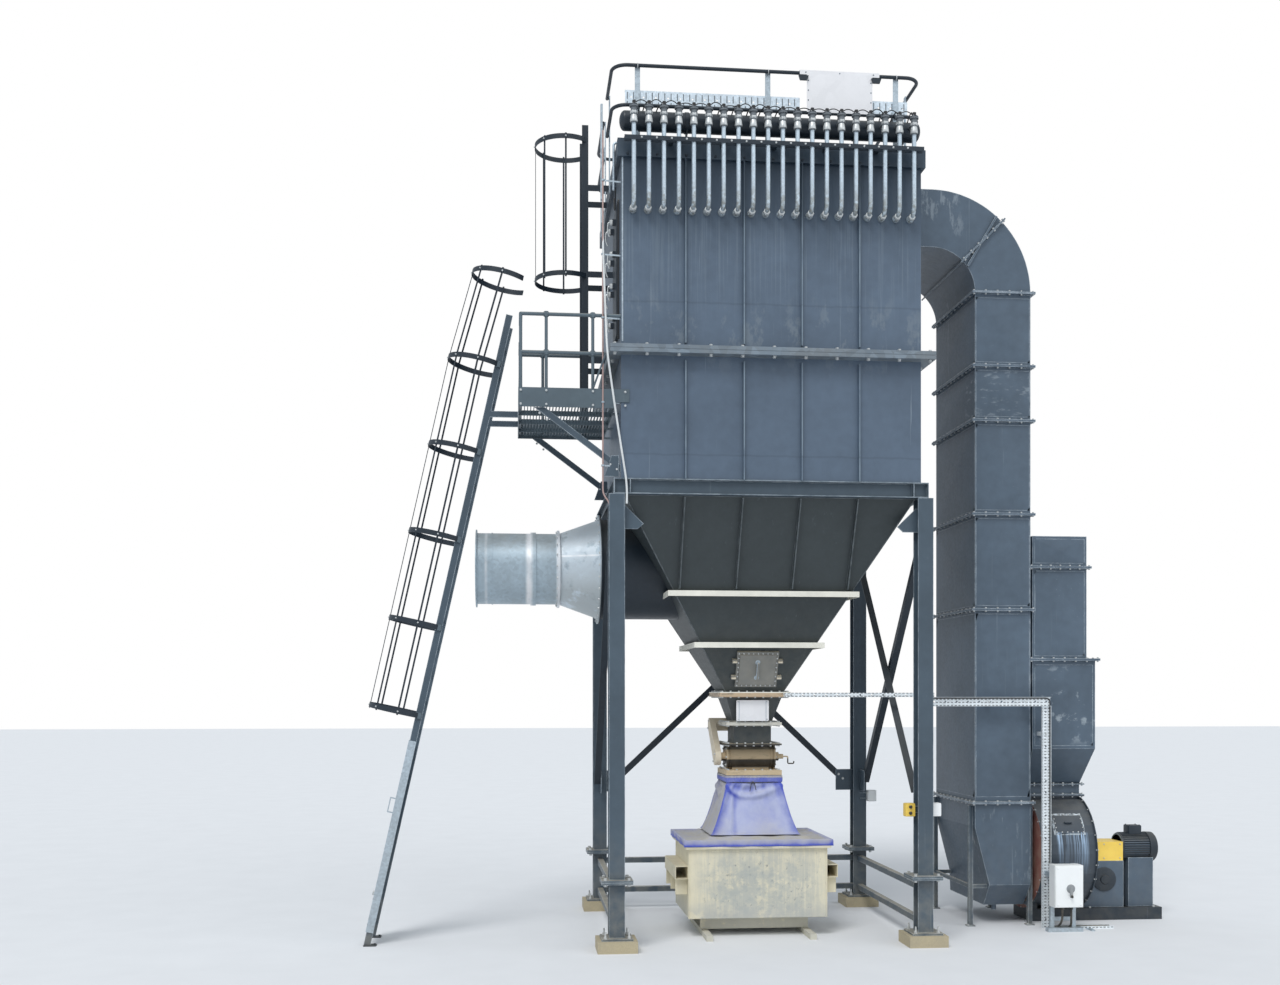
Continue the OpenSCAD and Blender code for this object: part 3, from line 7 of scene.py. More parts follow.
import bpy
import numpy as np
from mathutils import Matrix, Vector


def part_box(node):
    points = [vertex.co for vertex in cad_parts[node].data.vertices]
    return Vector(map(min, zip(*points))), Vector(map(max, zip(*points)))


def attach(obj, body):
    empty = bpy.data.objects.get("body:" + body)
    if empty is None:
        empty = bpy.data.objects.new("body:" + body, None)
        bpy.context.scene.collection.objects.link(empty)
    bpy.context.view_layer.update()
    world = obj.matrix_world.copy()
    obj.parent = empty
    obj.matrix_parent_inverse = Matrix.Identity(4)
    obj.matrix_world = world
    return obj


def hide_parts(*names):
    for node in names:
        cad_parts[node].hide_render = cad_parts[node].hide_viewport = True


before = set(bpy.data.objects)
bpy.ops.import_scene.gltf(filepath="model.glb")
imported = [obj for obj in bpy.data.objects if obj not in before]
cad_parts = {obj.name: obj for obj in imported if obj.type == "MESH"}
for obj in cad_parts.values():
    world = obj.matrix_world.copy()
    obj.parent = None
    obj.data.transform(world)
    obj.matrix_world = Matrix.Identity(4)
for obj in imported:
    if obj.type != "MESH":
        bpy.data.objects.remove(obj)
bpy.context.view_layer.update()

low, high = (np.array(corner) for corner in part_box("columns"))
LEGS = np.array([(low[0] + high[0]) / 2, (low[1] + high[1]) / 2, 0.0])


def at(points):
    """Points given from the centre of the legs, moved into the part's frame."""
    return np.asarray(points, float) + LEGS


def sides_of(node):
    """A solid's lowest and highest corners, measured from the centre of the legs."""
    return [np.array(corner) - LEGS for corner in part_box(node)]


# ---------------------------------------------------------------- shapes from arrays

def unit(vectors):
    """Vectors divided by their lengths."""
    vectors = np.asarray(vectors, float)
    return vectors / np.linalg.norm(vectors, axis=-1, keepdims=True)


def grid_faces(rows, columns, closed=True):
    """Four-sided faces between neighbouring rows and columns; closed wraps the last column
    back to the first."""
    row = np.arange(rows - 1)[:, None] * columns
    column = np.arange(columns if closed else columns - 1)[None, :]
    following = (column + 1) % columns
    return np.stack([row + column, row + following, row + columns + following,
                     row + columns + column], -1).reshape(-1, 4)


def stacked(sections):
    """Closed body through sections (k, n, 3): walls between neighbours, a flat cap at each
    end."""
    count, around = sections.shape[:2]
    ring = np.arange(around)
    return sections.reshape(-1, 3), [grid_faces(count, around),
                                     np.array([ring[::-1], (count - 1) * around + ring])]


def circle(radius, around=12):
    """Outline (n, 2): radius times cosine and sine of equal angles."""
    angle = np.linspace(0, 2 * np.pi, around, endpoint=False)
    return radius * np.stack([np.cos(angle), np.sin(angle)], -1)


def rounded(width, height, corner, steps=4):
    """Outline of a rectangle with round corners: each corner's centre plus a quarter circle."""
    angle = (np.linspace(0, np.pi / 2, steps)[None, :]
             + np.arange(4)[:, None] * np.pi / 2)
    signs = np.array([[1, 1], [-1, 1], [-1, -1], [1, -1]])
    centre = signs * [width / 2 - corner, height / 2 - corner]
    return (centre[:, None] + corner * np.stack([np.cos(angle), np.sin(angle)], -1)
            ).reshape(-1, 2)


def swept(path, outline):
    """Outline (n, 2) carried along a path (m, 3). At each point of the path it lies in the
    plane square to the path's direction, on two directions worked out from a fixed lead."""
    path = np.asarray(path, float)
    along = unit(np.gradient(path, axis=0))
    lead = np.eye(3)[np.argmin(np.abs(along).max(axis=0))]
    side = unit(np.cross(lead, along))
    up = np.cross(along, side)
    return stacked(path[:, None] + outline[None, :, :1] * side[:, None]
                   + outline[None, :, 1:] * up[:, None])


def eased(corners, bend, steps=7):
    """A path through corners whose bends are rounded: near each inner corner c it follows
    (1-t)^2 a + 2t(1-t) c + t^2 b, with a and b at the distance bend on both sides of it."""
    corners = np.asarray(corners, float)
    middle = corners[1:-1]
    a = middle + bend * unit(corners[:-2] - middle)
    b = middle + bend * unit(corners[2:] - middle)
    t = np.linspace(0, 1, steps)[None, :, None]
    curve = (1 - t) ** 2 * a[:, None] + 2 * t * (1 - t) * middle[:, None] + t ** 2 * b[:, None]
    return np.concatenate([corners[:1], curve.reshape(-1, 3), corners[-1:]])


def pipe(corners, radius, bend=0.05, around=12):
    """Round bar or hose through corners with eased bends."""
    return swept(eased(corners, bend), circle(radius, around))


def sagging(a, b, sag, steps=12):
    """Path from a to b that hangs by sag in the middle: a straight line less 4 sag t (1-t)."""
    t = np.linspace(0, 1, steps)[:, None]
    return (1 - t) * np.asarray(a, float) + t * np.asarray(b, float) \
        - [0, 0, 1] * (4 * sag * t * (1 - t))


def turned(profile, around=24):
    """Profile of (radius, height) pairs turned about +Z: x = r cos a, y = r sin a, z = h."""
    profile = np.asarray(profile, float)
    ring = circle(1.0, around)
    flat = profile[:, None, :1] * ring[None]
    tall = np.broadcast_to(profile[:, None, 1:], flat.shape[:2] + (1,))
    return stacked(np.concatenate([flat, tall], -1))


def slab(outline, levels):
    """Outline (n, 2) stacked along +Z through levels of (height, share of the outline)."""
    levels = np.asarray(levels, float)
    flat = levels[:, None, 1:] * outline[None]
    tall = np.broadcast_to(levels[:, None, :1], flat.shape[:2] + (1,))
    return stacked(np.concatenate([flat, tall], -1))


def plate(width, height, thickness, corner=0.004):
    """Sheet with round corners and a softened front edge, its back at z = 0."""
    soft = 1 - 0.3 * thickness / min(width, height)
    return slab(rounded(width, height, corner),
                [(0, 1), (0.8 * thickness, 1), (thickness, soft)])


def axes_along(axis, lead=None):
    """Right-handed directions (n, 3, 3) whose third is axis and whose second is as near to
    lead (up, if not given) as it can be."""
    third = unit(np.atleast_2d(np.asarray(axis, float)))
    if lead is None:
        lead = np.where(np.abs(third[:, 2:]) > 0.9, [[0.0, 1.0, 0.0]], [[0.0, 0.0, 1.0]])
    first = unit(np.cross(np.broadcast_to(lead, third.shape), third))
    return np.stack([first, np.cross(third, first), third], 1)


def copies(shape, centres, axis, lead=None):
    """The shape at each centre, its +Z turned to axis: centre + x a + y b + z c."""
    points, faces = shape
    centres = np.atleast_2d(np.asarray(centres, float))
    count = len(centres)
    frames = np.broadcast_to(axes_along(axis, lead), (count, 3, 3))
    moved = centres[:, None] + np.einsum("pi,nij->npj", points, frames)
    offset = (np.arange(count) * len(points))[:, None, None]
    return moved.reshape(-1, 3), [(f[None] + offset).reshape(-1, f.shape[1]) for f in faces]


def joined(*shapes):
    """Several shapes as one."""
    points, faces, start = [], [], 0
    for shape_points, shape_faces in shapes:
        points.append(shape_points)
        faces += [f + start for f in shape_faces]
        start += len(shape_points)
    return np.concatenate(points), faces


def piece(name, finish, *shapes, body="plant", slot=None, smooth=35.0):
    """Makes one mesh object of shapes given from the centre of the legs, with the finish of
    that name, riding on its body."""
    points, faces = joined(*shapes)
    mesh = bpy.data.meshes.new(name)
    mesh.from_pydata(at(points).tolist(), [], [q for f in faces for q in f.tolist()])
    mesh.shade_smooth()
    mesh.set_sharp_from_angle(angle=math.radians(smooth))
    mesh.materials.append(FINISH[finish].material)
    thing = bpy.data.objects.new(name, mesh)
    bpy.context.scene.collection.objects.link(thing)
    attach(thing, body)
    return thing


def row(a, b, pitch):
    """Evenly spaced points from a to b, about a pitch apart."""
    a, b = np.asarray(a, float), np.asarray(b, float)
    count = max(2, int(round(np.linalg.norm(b - a) / pitch)) + 1)
    return a + np.linspace(0, 1, count)[:, None] * (b - a)


def around_frame(half_x, half_y, z, pitch, centre=(0.0, 0.0)):
    """Points along the four sides of a rectangle at height z."""
    x, y = centre
    corner = [[x - half_x, y - half_y, z], [x + half_x, y - half_y, z],
              [x + half_x, y + half_y, z], [x - half_x, y + half_y, z]]
    return np.concatenate([row(corner[i], corner[(i + 1) % 4], pitch)[:-1] for i in range(4)])


def ring_points(centre, axis, radius, count):
    """Equally spaced points on a circle square to axis."""
    frames = axes_along(axis)[0]
    return np.asarray(centre, float) + circle(radius, count) @ frames[:2]


def flat_at(places, z):
    """Places (n, 2) lifted to the height z."""
    return np.column_stack([places, np.full(len(places), z)])


# ---------------------------------------------------------------- shader groups
OPEN = (None, None, None)


class Graph:
    """Short ways to add and join nodes in one node tree."""

    def __init__(self, tree):
        self.tree = tree

    def add(self, kind, **values):
        node = self.tree.nodes.new(kind)
        for key, value in values.items():
            setattr(node, key, value)
        return node

    def feed(self, socket, value):
        if isinstance(value, bpy.types.NodeSocket):
            self.tree.links.new(value, socket)
        elif value is not None:
            socket.default_value = value

    def math(self, operation, a, b=None, clamp=False):
        node = self.add("ShaderNodeMath", operation=operation, use_clamp=clamp)
        for socket, value in zip(node.inputs, (a, b)):
            self.feed(socket, value)
        return node.outputs[0]

    def times(self, product, *others):
        """Product of masks and numbers."""
        for value in others:
            product = self.math("MULTIPLY", product, value)
        return product

    def ramp(self, value, low, high, out_low=0.0, out_high=1.0):
        """Value moved in a straight line from low..high to out_low..out_high, and held there."""
        node = self.add("ShaderNodeMapRange", clamp=True)
        for socket, item in zip(node.inputs, (value, low, high, out_low, out_high)):
            self.feed(socket, item)
        return node.outputs[0]

    def mix(self, share, a, b):
        """Colour a with a share of colour b."""
        node = self.add("ShaderNodeMix", data_type="RGBA")
        for index, value in ((0, share), (6, a), (7, b)):
            self.feed(node.inputs[index], value)
        return node.outputs[2]

    def split(self, vector):
        """A vector's three numbers."""
        node = self.add("ShaderNodeSeparateXYZ")
        self.feed(node.inputs[0], vector)
        return node.outputs

    def position(self):
        return self.add("ShaderNodeTexCoord").outputs["Object"]

    def height(self):
        return self.split(self.position())[2]

    def normal(self):
        return self.add("ShaderNodeNewGeometry").outputs["Normal"]

    def place(self, scale=(1, 1, 1), turn=0.0):
        """Object coordinates turned about Y, then multiplied by scale."""
        node = self.add("ShaderNodeMapping", vector_type="TEXTURE")
        self.feed(node.inputs["Vector"], self.position())
        node.inputs["Scale"].default_value = [1 / s for s in scale]
        node.inputs["Rotation"].default_value = (0, turn, 0)
        return node.outputs[0]

    def noise(self, scale, detail=4.0, rough=0.55, stretch=(1, 1, 1), turn=0.0):
        """Noise on object coordinates; a small number in stretch draws it out that way."""
        node = self.add("ShaderNodeTexNoise")
        self.feed(node.inputs["Vector"], self.place(stretch, turn))
        self.feed(node.inputs["Scale"], scale)
        node.inputs["Detail"].default_value = detail
        node.inputs["Roughness"].default_value = rough
        return node.outputs["Fac"]

    def within(self, low=OPEN, high=OPEN, soft=0.03):
        """One inside the box from low to high, measured from the centre of the legs, and
        zero outside it, fading over a distance soft; None leaves a side open."""
        position = self.split(self.position())
        sides = []
        for axis, (a, b) in enumerate(zip(low, high)):
            for limit, sign in ((a, 1), (b, -1)):
                if limit is not None:
                    edge = limit + LEGS[axis]
                    sides.append(self.ramp(position[axis], edge - sign * soft / 2,
                                           edge + sign * soft / 2))
        return self.times(*sides)

    def use(self, tree, **values):
        """Places a group with its own values and returns its first output."""
        node = self.add("ShaderNodeGroup", node_tree=tree)
        for key, value in values.items():
            node.inputs[key.replace("_", " ")].default_value = value
        return node.outputs[0]


def group(name, inputs, output, build):
    """A node group with float inputs (name: value) and one named output, made by build."""
    tree = bpy.data.node_groups.new(name, "ShaderNodeTree")
    for key, value in inputs.items():
        tree.interface.new_socket(name=key, in_out="INPUT",
                                  socket_type="NodeSocketFloat").default_value = value
    tree.interface.new_socket(name=output, in_out="OUTPUT", socket_type="NodeSocketFloat")
    g = Graph(tree)
    source, sink = g.add("NodeGroupInput"), g.add("NodeGroupOutput")
    g.feed(sink.inputs[output], build(g, source.outputs))
    return tree


def rain_streaks(g, given):
    """Noise drawn out along Z, thinned to narrow runs on upright faces only."""
    fine = g.noise(1.0, 5.0, 0.6, stretch=(26, 26, 0.55))
    broad = g.noise(1.0, 3.0, stretch=(5, 5, 0.22))
    narrow = g.ramp(fine, g.math("SUBTRACT", 0.70, g.times(given["Width"], 0.2)), 0.78)
    upright = g.ramp(g.math("ABSOLUTE", g.split(g.normal())[2]), 0.25, 0.75, 1.0, 0.0)
    return g.times(narrow, g.ramp(broad, 0.42, 0.62), upright, given["Amount"])


def settled_dust(g, given):
    """Upward faces, broken by noise, plus a thin film that thickens towards the ground."""
    broken = g.ramp(g.noise(9.0, 5.0), 0.3, 0.6)
    facing_up = g.ramp(g.split(g.normal())[2], 0.35, 0.85)
    flat = g.times(facing_up, g.ramp(broken, 0, 1, 0.55, 1), given["Flat"])
    film = g.times(g.ramp(g.height(), given["Film top"], 0.0), broken, given["Film"])
    return g.math("MAXIMUM", flat, film)


def mottle(g, given):
    """Two sizes of soft noise around one half."""
    large = g.noise(given["Scale"], 3.0)
    small = g.noise(g.times(given["Scale"], 11.0), 5.0)
    return g.ramp(g.math("ADD", g.times(large, 0.65), g.times(small, 0.35)), 0.32, 0.68)


def zinc_spangle(g, given):
    """Grey level of random cells, as zinc crystals have."""
    cells = g.add("ShaderNodeTexVoronoi")
    g.feed(cells.inputs["Vector"], g.place())
    g.feed(cells.inputs["Scale"], given["Scale"])
    grey = g.add("ShaderNodeSeparateColor")
    g.feed(grey.inputs[0], cells.outputs["Color"])
    return grey.outputs[0]


def chipped(g, given):
    """Small sharp flecks where fine noise passes a limit, in scattered patches."""
    fleck = g.ramp(g.noise(60.0, 6.0, 0.7), 0.66, 0.69)
    return g.times(fleck, g.ramp(g.noise(2.2, 2.0), 0.52, 0.66), given["Amount"])


def edge_wear_and_highlight(g, given):
    """Pale line along outer edges, partly rubbed wear and partly painted highlight: one less the
    cosine between the face's own normal and the normal rounded over a small radius, broken up
    by noise."""
    rounded_normal = g.add("ShaderNodeBevel", samples=4)
    g.feed(rounded_normal.inputs["Radius"], given["Radius"])
    cosine = g.add("ShaderNodeVectorMath", operation="DOT_PRODUCT")
    g.feed(cosine.inputs[0], rounded_normal.outputs[0])
    g.feed(cosine.inputs[1], g.normal())
    line = g.ramp(cosine.outputs["Value"], 0.99, 0.88)
    broken = g.ramp(g.noise(9.0, 5.0, 0.65), 0.35, 0.60, 0.15, 1.0)
    return g.times(line, broken, given["Amount"])


def woven(g, given):
    """Warp and weft as two crossed waves over the cloth's own flat coordinates."""
    turns = g.math("DIVIDE", 6.2832, given["Thread"])
    warp, weft = [g.math("SINE", g.times(number, turns))
                  for number in g.split(g.add("ShaderNodeUVMap").outputs[0])[:2]]
    return g.ramp(g.times(warp, weft), -1.0, 1.0)


STREAKS = group("Rain streaks", {"Width": 0.3, "Amount": 0.5}, "Mask", rain_streaks)
DUST = group("Settled dust", {"Flat": 0.6, "Film": 0.2, "Film top": 3.0}, "Mask", settled_dust)
MOTTLE = group("Mottle", {"Scale": 1.2}, "Tone", mottle)
SPANGLE = group("Zinc spangle", {"Scale": 60.0}, "Tone", zinc_spangle)
CHIPS = group("Chipped flecks", {"Amount": 0.5}, "Mask", chipped)
EDGE_WEAR_AND_HIGHLIGHT = group("Edge wear and painted highlight", {"Radius": 0.01, "Amount": 0.5}, "Mask", edge_wear_and_highlight)
WOVEN = group("Woven threads", {"Thread": 0.004}, "Height", woven)

# ---------------------------------------------------------------- finishes
BLUE_GREY = (0.078, 0.112, 0.152)
DUST_TAN = (0.56, 0.49, 0.36, 1)
STREAK_PALE = (0.42, 0.49, 0.54, 1)
# Pale edge colour: partly rubbed wear, partly painted highlight on corners
EDGE_PALE = (0.56, 0.63, 0.68, 1)
CHIP_GREY = (0.30, 0.31, 0.31, 1)
CHIP_PALE = (0.42, 0.47, 0.50, 1)
CHIP_BLACK = (0.10, 0.10, 0.10, 1)
# Joints of the front panels on the casing, where faint weld lines run across
WELD_HEIGHTS = (6.17, 4.72)
# The scroll's bolted cover on the front face: left, right, lower and upper edge
COVER_LEFT, COVER_RIGHT, COVER_FOOT, COVER_TOP = 3.185, 3.501, 0.972, 1.158


def shade_of(color, factor):
    return tuple(c * factor for c in color[:3]) + (1,)


class Finish(Graph):
    """A material with its shader and its slot in the record."""

    def __init__(self, name, slot, metallic=0.0):
        self.material = bpy.data.materials.new(name)
        self.material.use_nodes = True
        super().__init__(self.material.node_tree)
        self.tree.nodes.clear()
        self.slot = slot
        self.shader = self.add("ShaderNodeBsdfPrincipled")
        self.give("Metallic", metallic)
        self.feed(self.add("ShaderNodeOutputMaterial").inputs["Surface"], self.shader.outputs[0])

    def give(self, socket, value):
        self.feed(self.shader.inputs[socket], value)

    def bump(self, height, depth, strength):
        node = self.add("ShaderNodeBump")
        node.inputs["Strength"].default_value = strength
        node.inputs["Distance"].default_value = depth
        self.feed(node.inputs["Height"], height)
        self.give("Normal", node.outputs[0])

    def lay(self, mask, color):
        """Lays a further colour over the finish where the mask shows it."""
        under = self.shader.inputs["Base Color"].links[0].from_socket
        self.give("Base Color", self.mix(mask, under, color))
        return self

    def patch(self, color, low, high, scale, share, amount, stretch=(1, 1, 1), turn=0.0,
              soft=0.05):
        """Lays a colour in broken patches inside a box: share is how much they cover."""
        least = 0.62 - 0.24 * share
        broken = self.ramp(self.noise(scale, 6.0, 0.68, stretch, turn), least, least + 0.08, 0.0,
                           amount)
        return self.lay(self.times(broken, self.within(low, high, soft)), color)

    def band(self, color, low, high, soft, scale, limits, stretch=(1, 1, 1)):
        """Lays a colour inside a box, uneven by noise: limits are the ramp's."""
        uneven = self.ramp(self.noise(scale, 4.0, stretch=stretch), *limits)
        return self.lay(self.times(self.within(low, high, soft), uneven), color)


def paint(name, slot, color, rough=0.5, streaks=0.35, flat=0.55, film=0.12, film_top=2.5,
          chips=0.3, chip_color=CHIP_GREY, spread=0.18, edges=0.0):
    """Site-weathered paint: mottled colour, pale runs, chips, pale edges (rubbed wear and painted
    highlight) and settled dust.
    """
    made = Finish(name, slot)
    color = made.mix(made.use(MOTTLE, Scale=0.9), shade_of(color, 1 - spread),
                     shade_of(color, 1 + spread))
    if streaks:
        color = made.mix(made.use(STREAKS, Width=0.35, Amount=streaks), color, STREAK_PALE)
    if chips:
        color = made.mix(made.use(CHIPS, Amount=chips), color, chip_color)
    # Pale edges: partly rubbed wear, partly painted highlight on the corners
    if edges:
        color = made.mix(made.use(EDGE_WEAR_AND_HIGHLIGHT, Radius=0.012, Amount=edges), color, EDGE_PALE)
    dust = made.use(DUST, Flat=flat, Film=film, Film_top=film_top)
    made.give("Base Color", made.mix(dust, color, DUST_TAN))
    uneven = made.ramp(made.noise(35.0), 0.3, 0.7, rough - 0.06, rough + 0.08)
    made.give("Roughness", made.math("ADD", uneven, made.times(dust, 0.35), clamp=True))
    made.bump(made.noise(2.4, 3.0), 0.012, 0.25)
    return made


def metal(name, slot, color, rough=0.38, spangle=0.12, scale=55.0, metallic=0.75, flat=0.2,
          film=0.08, film_top=2.0, grime=0.25):
    """Bare or zinc-coated metal: crystal cells, dull patches and a little dust."""
    made = Finish(name, slot, metallic)
    cells = made.use(SPANGLE, Scale=scale)
    tone = made.use(MOTTLE, Scale=2.4)
    color = made.mix(cells, shade_of(color, 1 - spangle), shade_of(color, 1 + spangle))
    color = made.mix(made.times(tone, grime), color, (0.20, 0.21, 0.21, 1))
    dust = made.use(DUST, Flat=flat, Film=film, Film_top=film_top)
    made.give("Base Color", made.mix(dust, color, DUST_TAN))
    dulled = made.times(made.math("ADD", tone, dust), 0.16)
    made.give("Roughness", made.math("ADD", made.ramp(cells, 0, 1, rough - 0.07, rough + 0.07),
                                     dulled, clamp=True))
    made.bump(tone, 0.002, 0.3)
    return made


def moulded(name, slot, color, rough=0.5, film=0.1):
    """Moulded plastic or rubber: fine grain and a dusty film."""
    made = Finish(name, slot)
    grain = made.noise(300.0, 2.0)
    color = made.mix(made.use(MOTTLE, Scale=3.0), shade_of(color, 0.9), shade_of(color, 1.1))
    dust = made.use(DUST, Flat=0.35, Film=film, Film_top=2.0)
    made.give("Base Color", made.mix(dust, color, DUST_TAN))
    made.give("Roughness", made.ramp(grain, 0.3, 0.7, rough - 0.08, rough + 0.08))
    made.bump(grain, 0.0008, 0.3)
    return made


def casing_paint():
    """The casing's paint: paler on the ribs' fronts, partly rubbed wear and partly painted
    highlight, painted shade under the roof's edge, chalky over the joint, with runs below the pipe
    sockets and faint weld lines across the panels."""
    made = paint("casing paint", "casing_paint", (0.092, 0.130, 0.182), rough=0.42, streaks=0.85,
                 flat=0.5, film=0.0, chips=0.15, spread=0.16)
    # Pale ribs' fronts: partly rubbed wear, partly painted highlight
    rib_front = sides_of("upper_casing")[0][1] + 0.004
    made.band((0.22, 0.28, 0.33, 1), OPEN, (None, rib_front, None), 0.004, 3.0,
              (0.35, 0.65, 0.25, 0.85), (3, 3, 1.5))
    # Painted shade: darker blue towards the roof's edge, from 7.05 m upwards, uneven by noise
    uneven = made.times(made.noise(1.0, stretch=(2.2, 2.2, 0.5)), 0.9)
    made.lay(made.ramp(made.math("ADD", made.height(), uneven), 7.05, 8.05, 0.0, 0.88),
             (0.015, 0.031, 0.050, 1))
    made.patch((0.26, 0.30, 0.32, 1), (None, None, 5.62), (None, None, 6.15), 5.0, 0.35, 0.30,
               (1, 1, 0.6), soft=0.4)
    made.patch((0.30, 0.36, 0.40, 1), (None, -1.3, 6.2), (None, -1.2, 7.0), 1.0, 0.42, 0.34,
               (34, 34, 0.5), soft=0.5)
    wavering = made.math("ADD", made.height(), made.times(made.noise(6.0, 3.0), 0.03))
    lines = [made.ramp(made.math("ABSOLUTE", made.math("SUBTRACT", wavering, z + 0.015)), 0.004,
                       0.013, 0.22, 0.0) for z in WELD_HEIGHTS]
    return made.lay(made.math("MAXIMUM", *lines), (0.035, 0.05, 0.07, 1))


def duct_paint():
    """The ducts' paint with chalky scuffs where the photograph shows them."""
    made = paint("duct paint", "frame_paint", BLUE_GREY, rough=0.42, streaks=0.6, flat=0.40,
                 film=0.05, film_top=1.2, chips=0.6, chip_color=CHIP_PALE, spread=0.22, edges=0.9)
    for low, high, scale, share, stretch in (
            ((2.30, -0.35, 5.34), (3.10, -0.10, 5.86), 6.0, 0.30, (1, 1, 2.5)),
            ((1.50, -0.35, 7.25), (2.20, None, 7.80), 7.0, 0.32, (1.4, 1.4, 0.5)),
            ((2.95, -0.35, 1.95), (3.70, -0.20, 2.70), 5.0, 0.26, (1, 1, 1.2)),
            ((2.30, -0.35, 0.50), (3.00, -0.15, 1.25), 5.0, 0.20, (2.0, 2.0, 0.6))):
        made.patch((0.44, 0.50, 0.54, 1), low, high, scale, share, 0.6, stretch, soft=0.12)
    return made


def scroll_paint():
    """The fan casing's dark paint: narrow runs from the cover's lower edge, fading downwards,
    and scraped white round the cover."""
    made = paint("fan casing paint", "frame_paint", (0.044, 0.060, 0.080), rough=0.42,
                 streaks=0.25, flat=0.12, film=0.06, film_top=1.0, spread=0.2)
    lines = made.ramp(made.noise(1.0, 3.0, 0.6, (48, 6, 0.7)), 0.46, 0.62)
    fade = made.ramp(made.height(), 0.50, COVER_FOOT)
    below = made.within((COVER_LEFT, None, 0.50), (COVER_RIGHT + 0.03, -0.2, COVER_FOOT + 0.01),
                        0.02)
    ends = [made.within((start, None, None), (end, None, None), 0.05) for start, end in
            ((COVER_LEFT, COVER_LEFT + 0.07), (COVER_RIGHT - 0.09, COVER_RIGHT + 0.03))]
    strength = made.math("ADD", made.times(made.math("MAXIMUM", *ends), 0.65), 0.35)
    made.lay(made.times(lines, fade, made.times(below, strength)), (0.42, 0.58, 0.78, 1))
    outer, inner = [made.within((COVER_LEFT - beyond, None, COVER_FOOT - beyond),
                                (COVER_RIGHT + beyond, 0.0, COVER_TOP + beyond), 0.006)
                    for beyond in (0.012, -0.004)]
    ring = made.math("SUBTRACT", outer, inner, clamp=True)
    scraped = made.ramp(made.noise(26.0, 5.0), 0.38, 0.55)
    return made.lay(made.times(ring, scraped), (0.62, 0.68, 0.72, 1))


def bin_paint():
    """Tan paint worn to grey-blue in the middle of the front, with thin runs, a grey lower
    edge and a few short knocks."""
    made = paint("bin paint", "bin_paint", (0.78, 0.72, 0.54), rough=0.75, streaks=0.0, flat=0.5,
                 film=0.20, film_top=1.6, chips=0.4, chip_color=(0.22, 0.19, 0.15, 1), spread=0.12)
    for scale, share, amount, stretch, turn in ((1.6, 0.95, 0.45, (1, 1, 1.4), 0.0),
                                                (4.5, 0.70, 0.55, (1, 1, 1.4), 0.3),
                                                (12.0, 0.55, 0.50, (1, 1, 1), 0.0)):
        made.patch((0.33, 0.375, 0.39, 1), (-0.55, None, 0.17), (0.52, -0.60, 0.80), scale, share,
                   amount, stretch, turn, soft=0.35)
    made.patch((0.42, 0.44, 0.42, 1), (-0.62, None, 0.15), (0.62, -0.60, 0.90), 1.0, 0.75, 0.40,
               (34, 34, 1.6), soft=0.2)
    made.patch((0.40, 0.42, 0.42, 1), OPEN, (None, None, 0.30), 3.0, 1.1, 0.50, soft=0.16)
    return made.patch((0.17, 0.19, 0.20, 1), (-0.62, None, 0.25), (0.62, -0.60, 0.85), 26.0, 0.10,
                      0.75, (1, 1, 0.7), 0.5, soft=0.2)


def valve_paint():
    """Black-brown rotary valve whose upper half and lower flange are caked with dust."""
    made = paint("valve body paint", "dark_paint", (0.030, 0.028, 0.026), rough=0.55, streaks=0.0,
                 flat=0.8, film=0.1, film_top=5.0)
    for low, high in ((1.757, 1.858), (1.585, 1.668)):
        made.band((0.60, 0.47, 0.30, 1), (None, None, low), (None, None, high), 0.012, 9.0,
                  (0.25, 0.45, 0.55, 0.95), (1, 1, 3))
    return made


def outlet_paint():
    """Hopper paint with the flanges' edges caked with dust."""
    made = paint("hopper outlet paint", "frame_paint", (0.046, 0.057, 0.063), streaks=0.2,
                 flat=0.85, film=0.15, film_top=3.4, chips=0.15)
    for low, high, color in ((2.405, 2.475, (0.58, 0.43, 0.28, 1)),
                             (2.105, 2.16, (0.62, 0.60, 0.53, 1))):
        made.band(color, (None, None, low), (None, None, high), 0.008, 8.0,
                  (0.3, 0.5, 0.35, 0.95), (1, 1, 3))
    return made


def inlet_zinc():
    """Galvanised inlet duct: paler on the cone, tarnished round the cone's lower half, with
    bright rubbed bands where its sheets meet."""
    made = metal("galvanised duct", "galvanised", (0.45, 0.55, 0.62), rough=0.4, spangle=0.10,
                 scale=32.0, metallic=0.55, flat=0.25, film=0.1, grime=0.3)
    cone = (-2.04, None, None)
    made.patch((0.84, 0.90, 0.95, 1), cone, OPEN, 2.5, 1.2, 0.5, (1.2, 1.2, 1.2), soft=0.02)
    made.patch((0.34, 0.35, 0.32, 1), cone, (None, None, 3.62), 4.0, 1.1, 0.45, soft=0.25)
    for low, high, soft, amount in (((-2.345, None, None), (-2.285, None, None), 0.03, 0.85),
                                    ((-2.765, None, None), (-2.74, None, None), 0.02, 0.45),
                                    ((-2.035, None, None), (-1.99, None, None), 0.02, 0.60),
                                    ((-2.04, None, 3.826), (None, 0.0, 3.842), 0.012, 0.80)):
        made.band((0.95, 0.95, 0.96, 1), low, high, soft, 7.0,
                  (0.30, 0.60, 0.35 * amount, amount))
    return made


def pipe_zinc():
    """Zinc-coated pipe, dull and dusty towards its lower end."""
    made = metal("zinc pipe", "galvanised", (0.60, 0.70, 0.78), rough=0.36, spangle=0.08,
                 scale=70.0, metallic=0.6, flat=0.1, film=0.0, grime=0.2)
    lower = made.ramp(made.height(), 7.32, 7.08, 0.0, 0.75)
    return made.lay(made.times(lower, made.ramp(made.noise(30.0, 3.0), 0.35, 0.60)),
                    (0.23, 0.22, 0.18, 1))


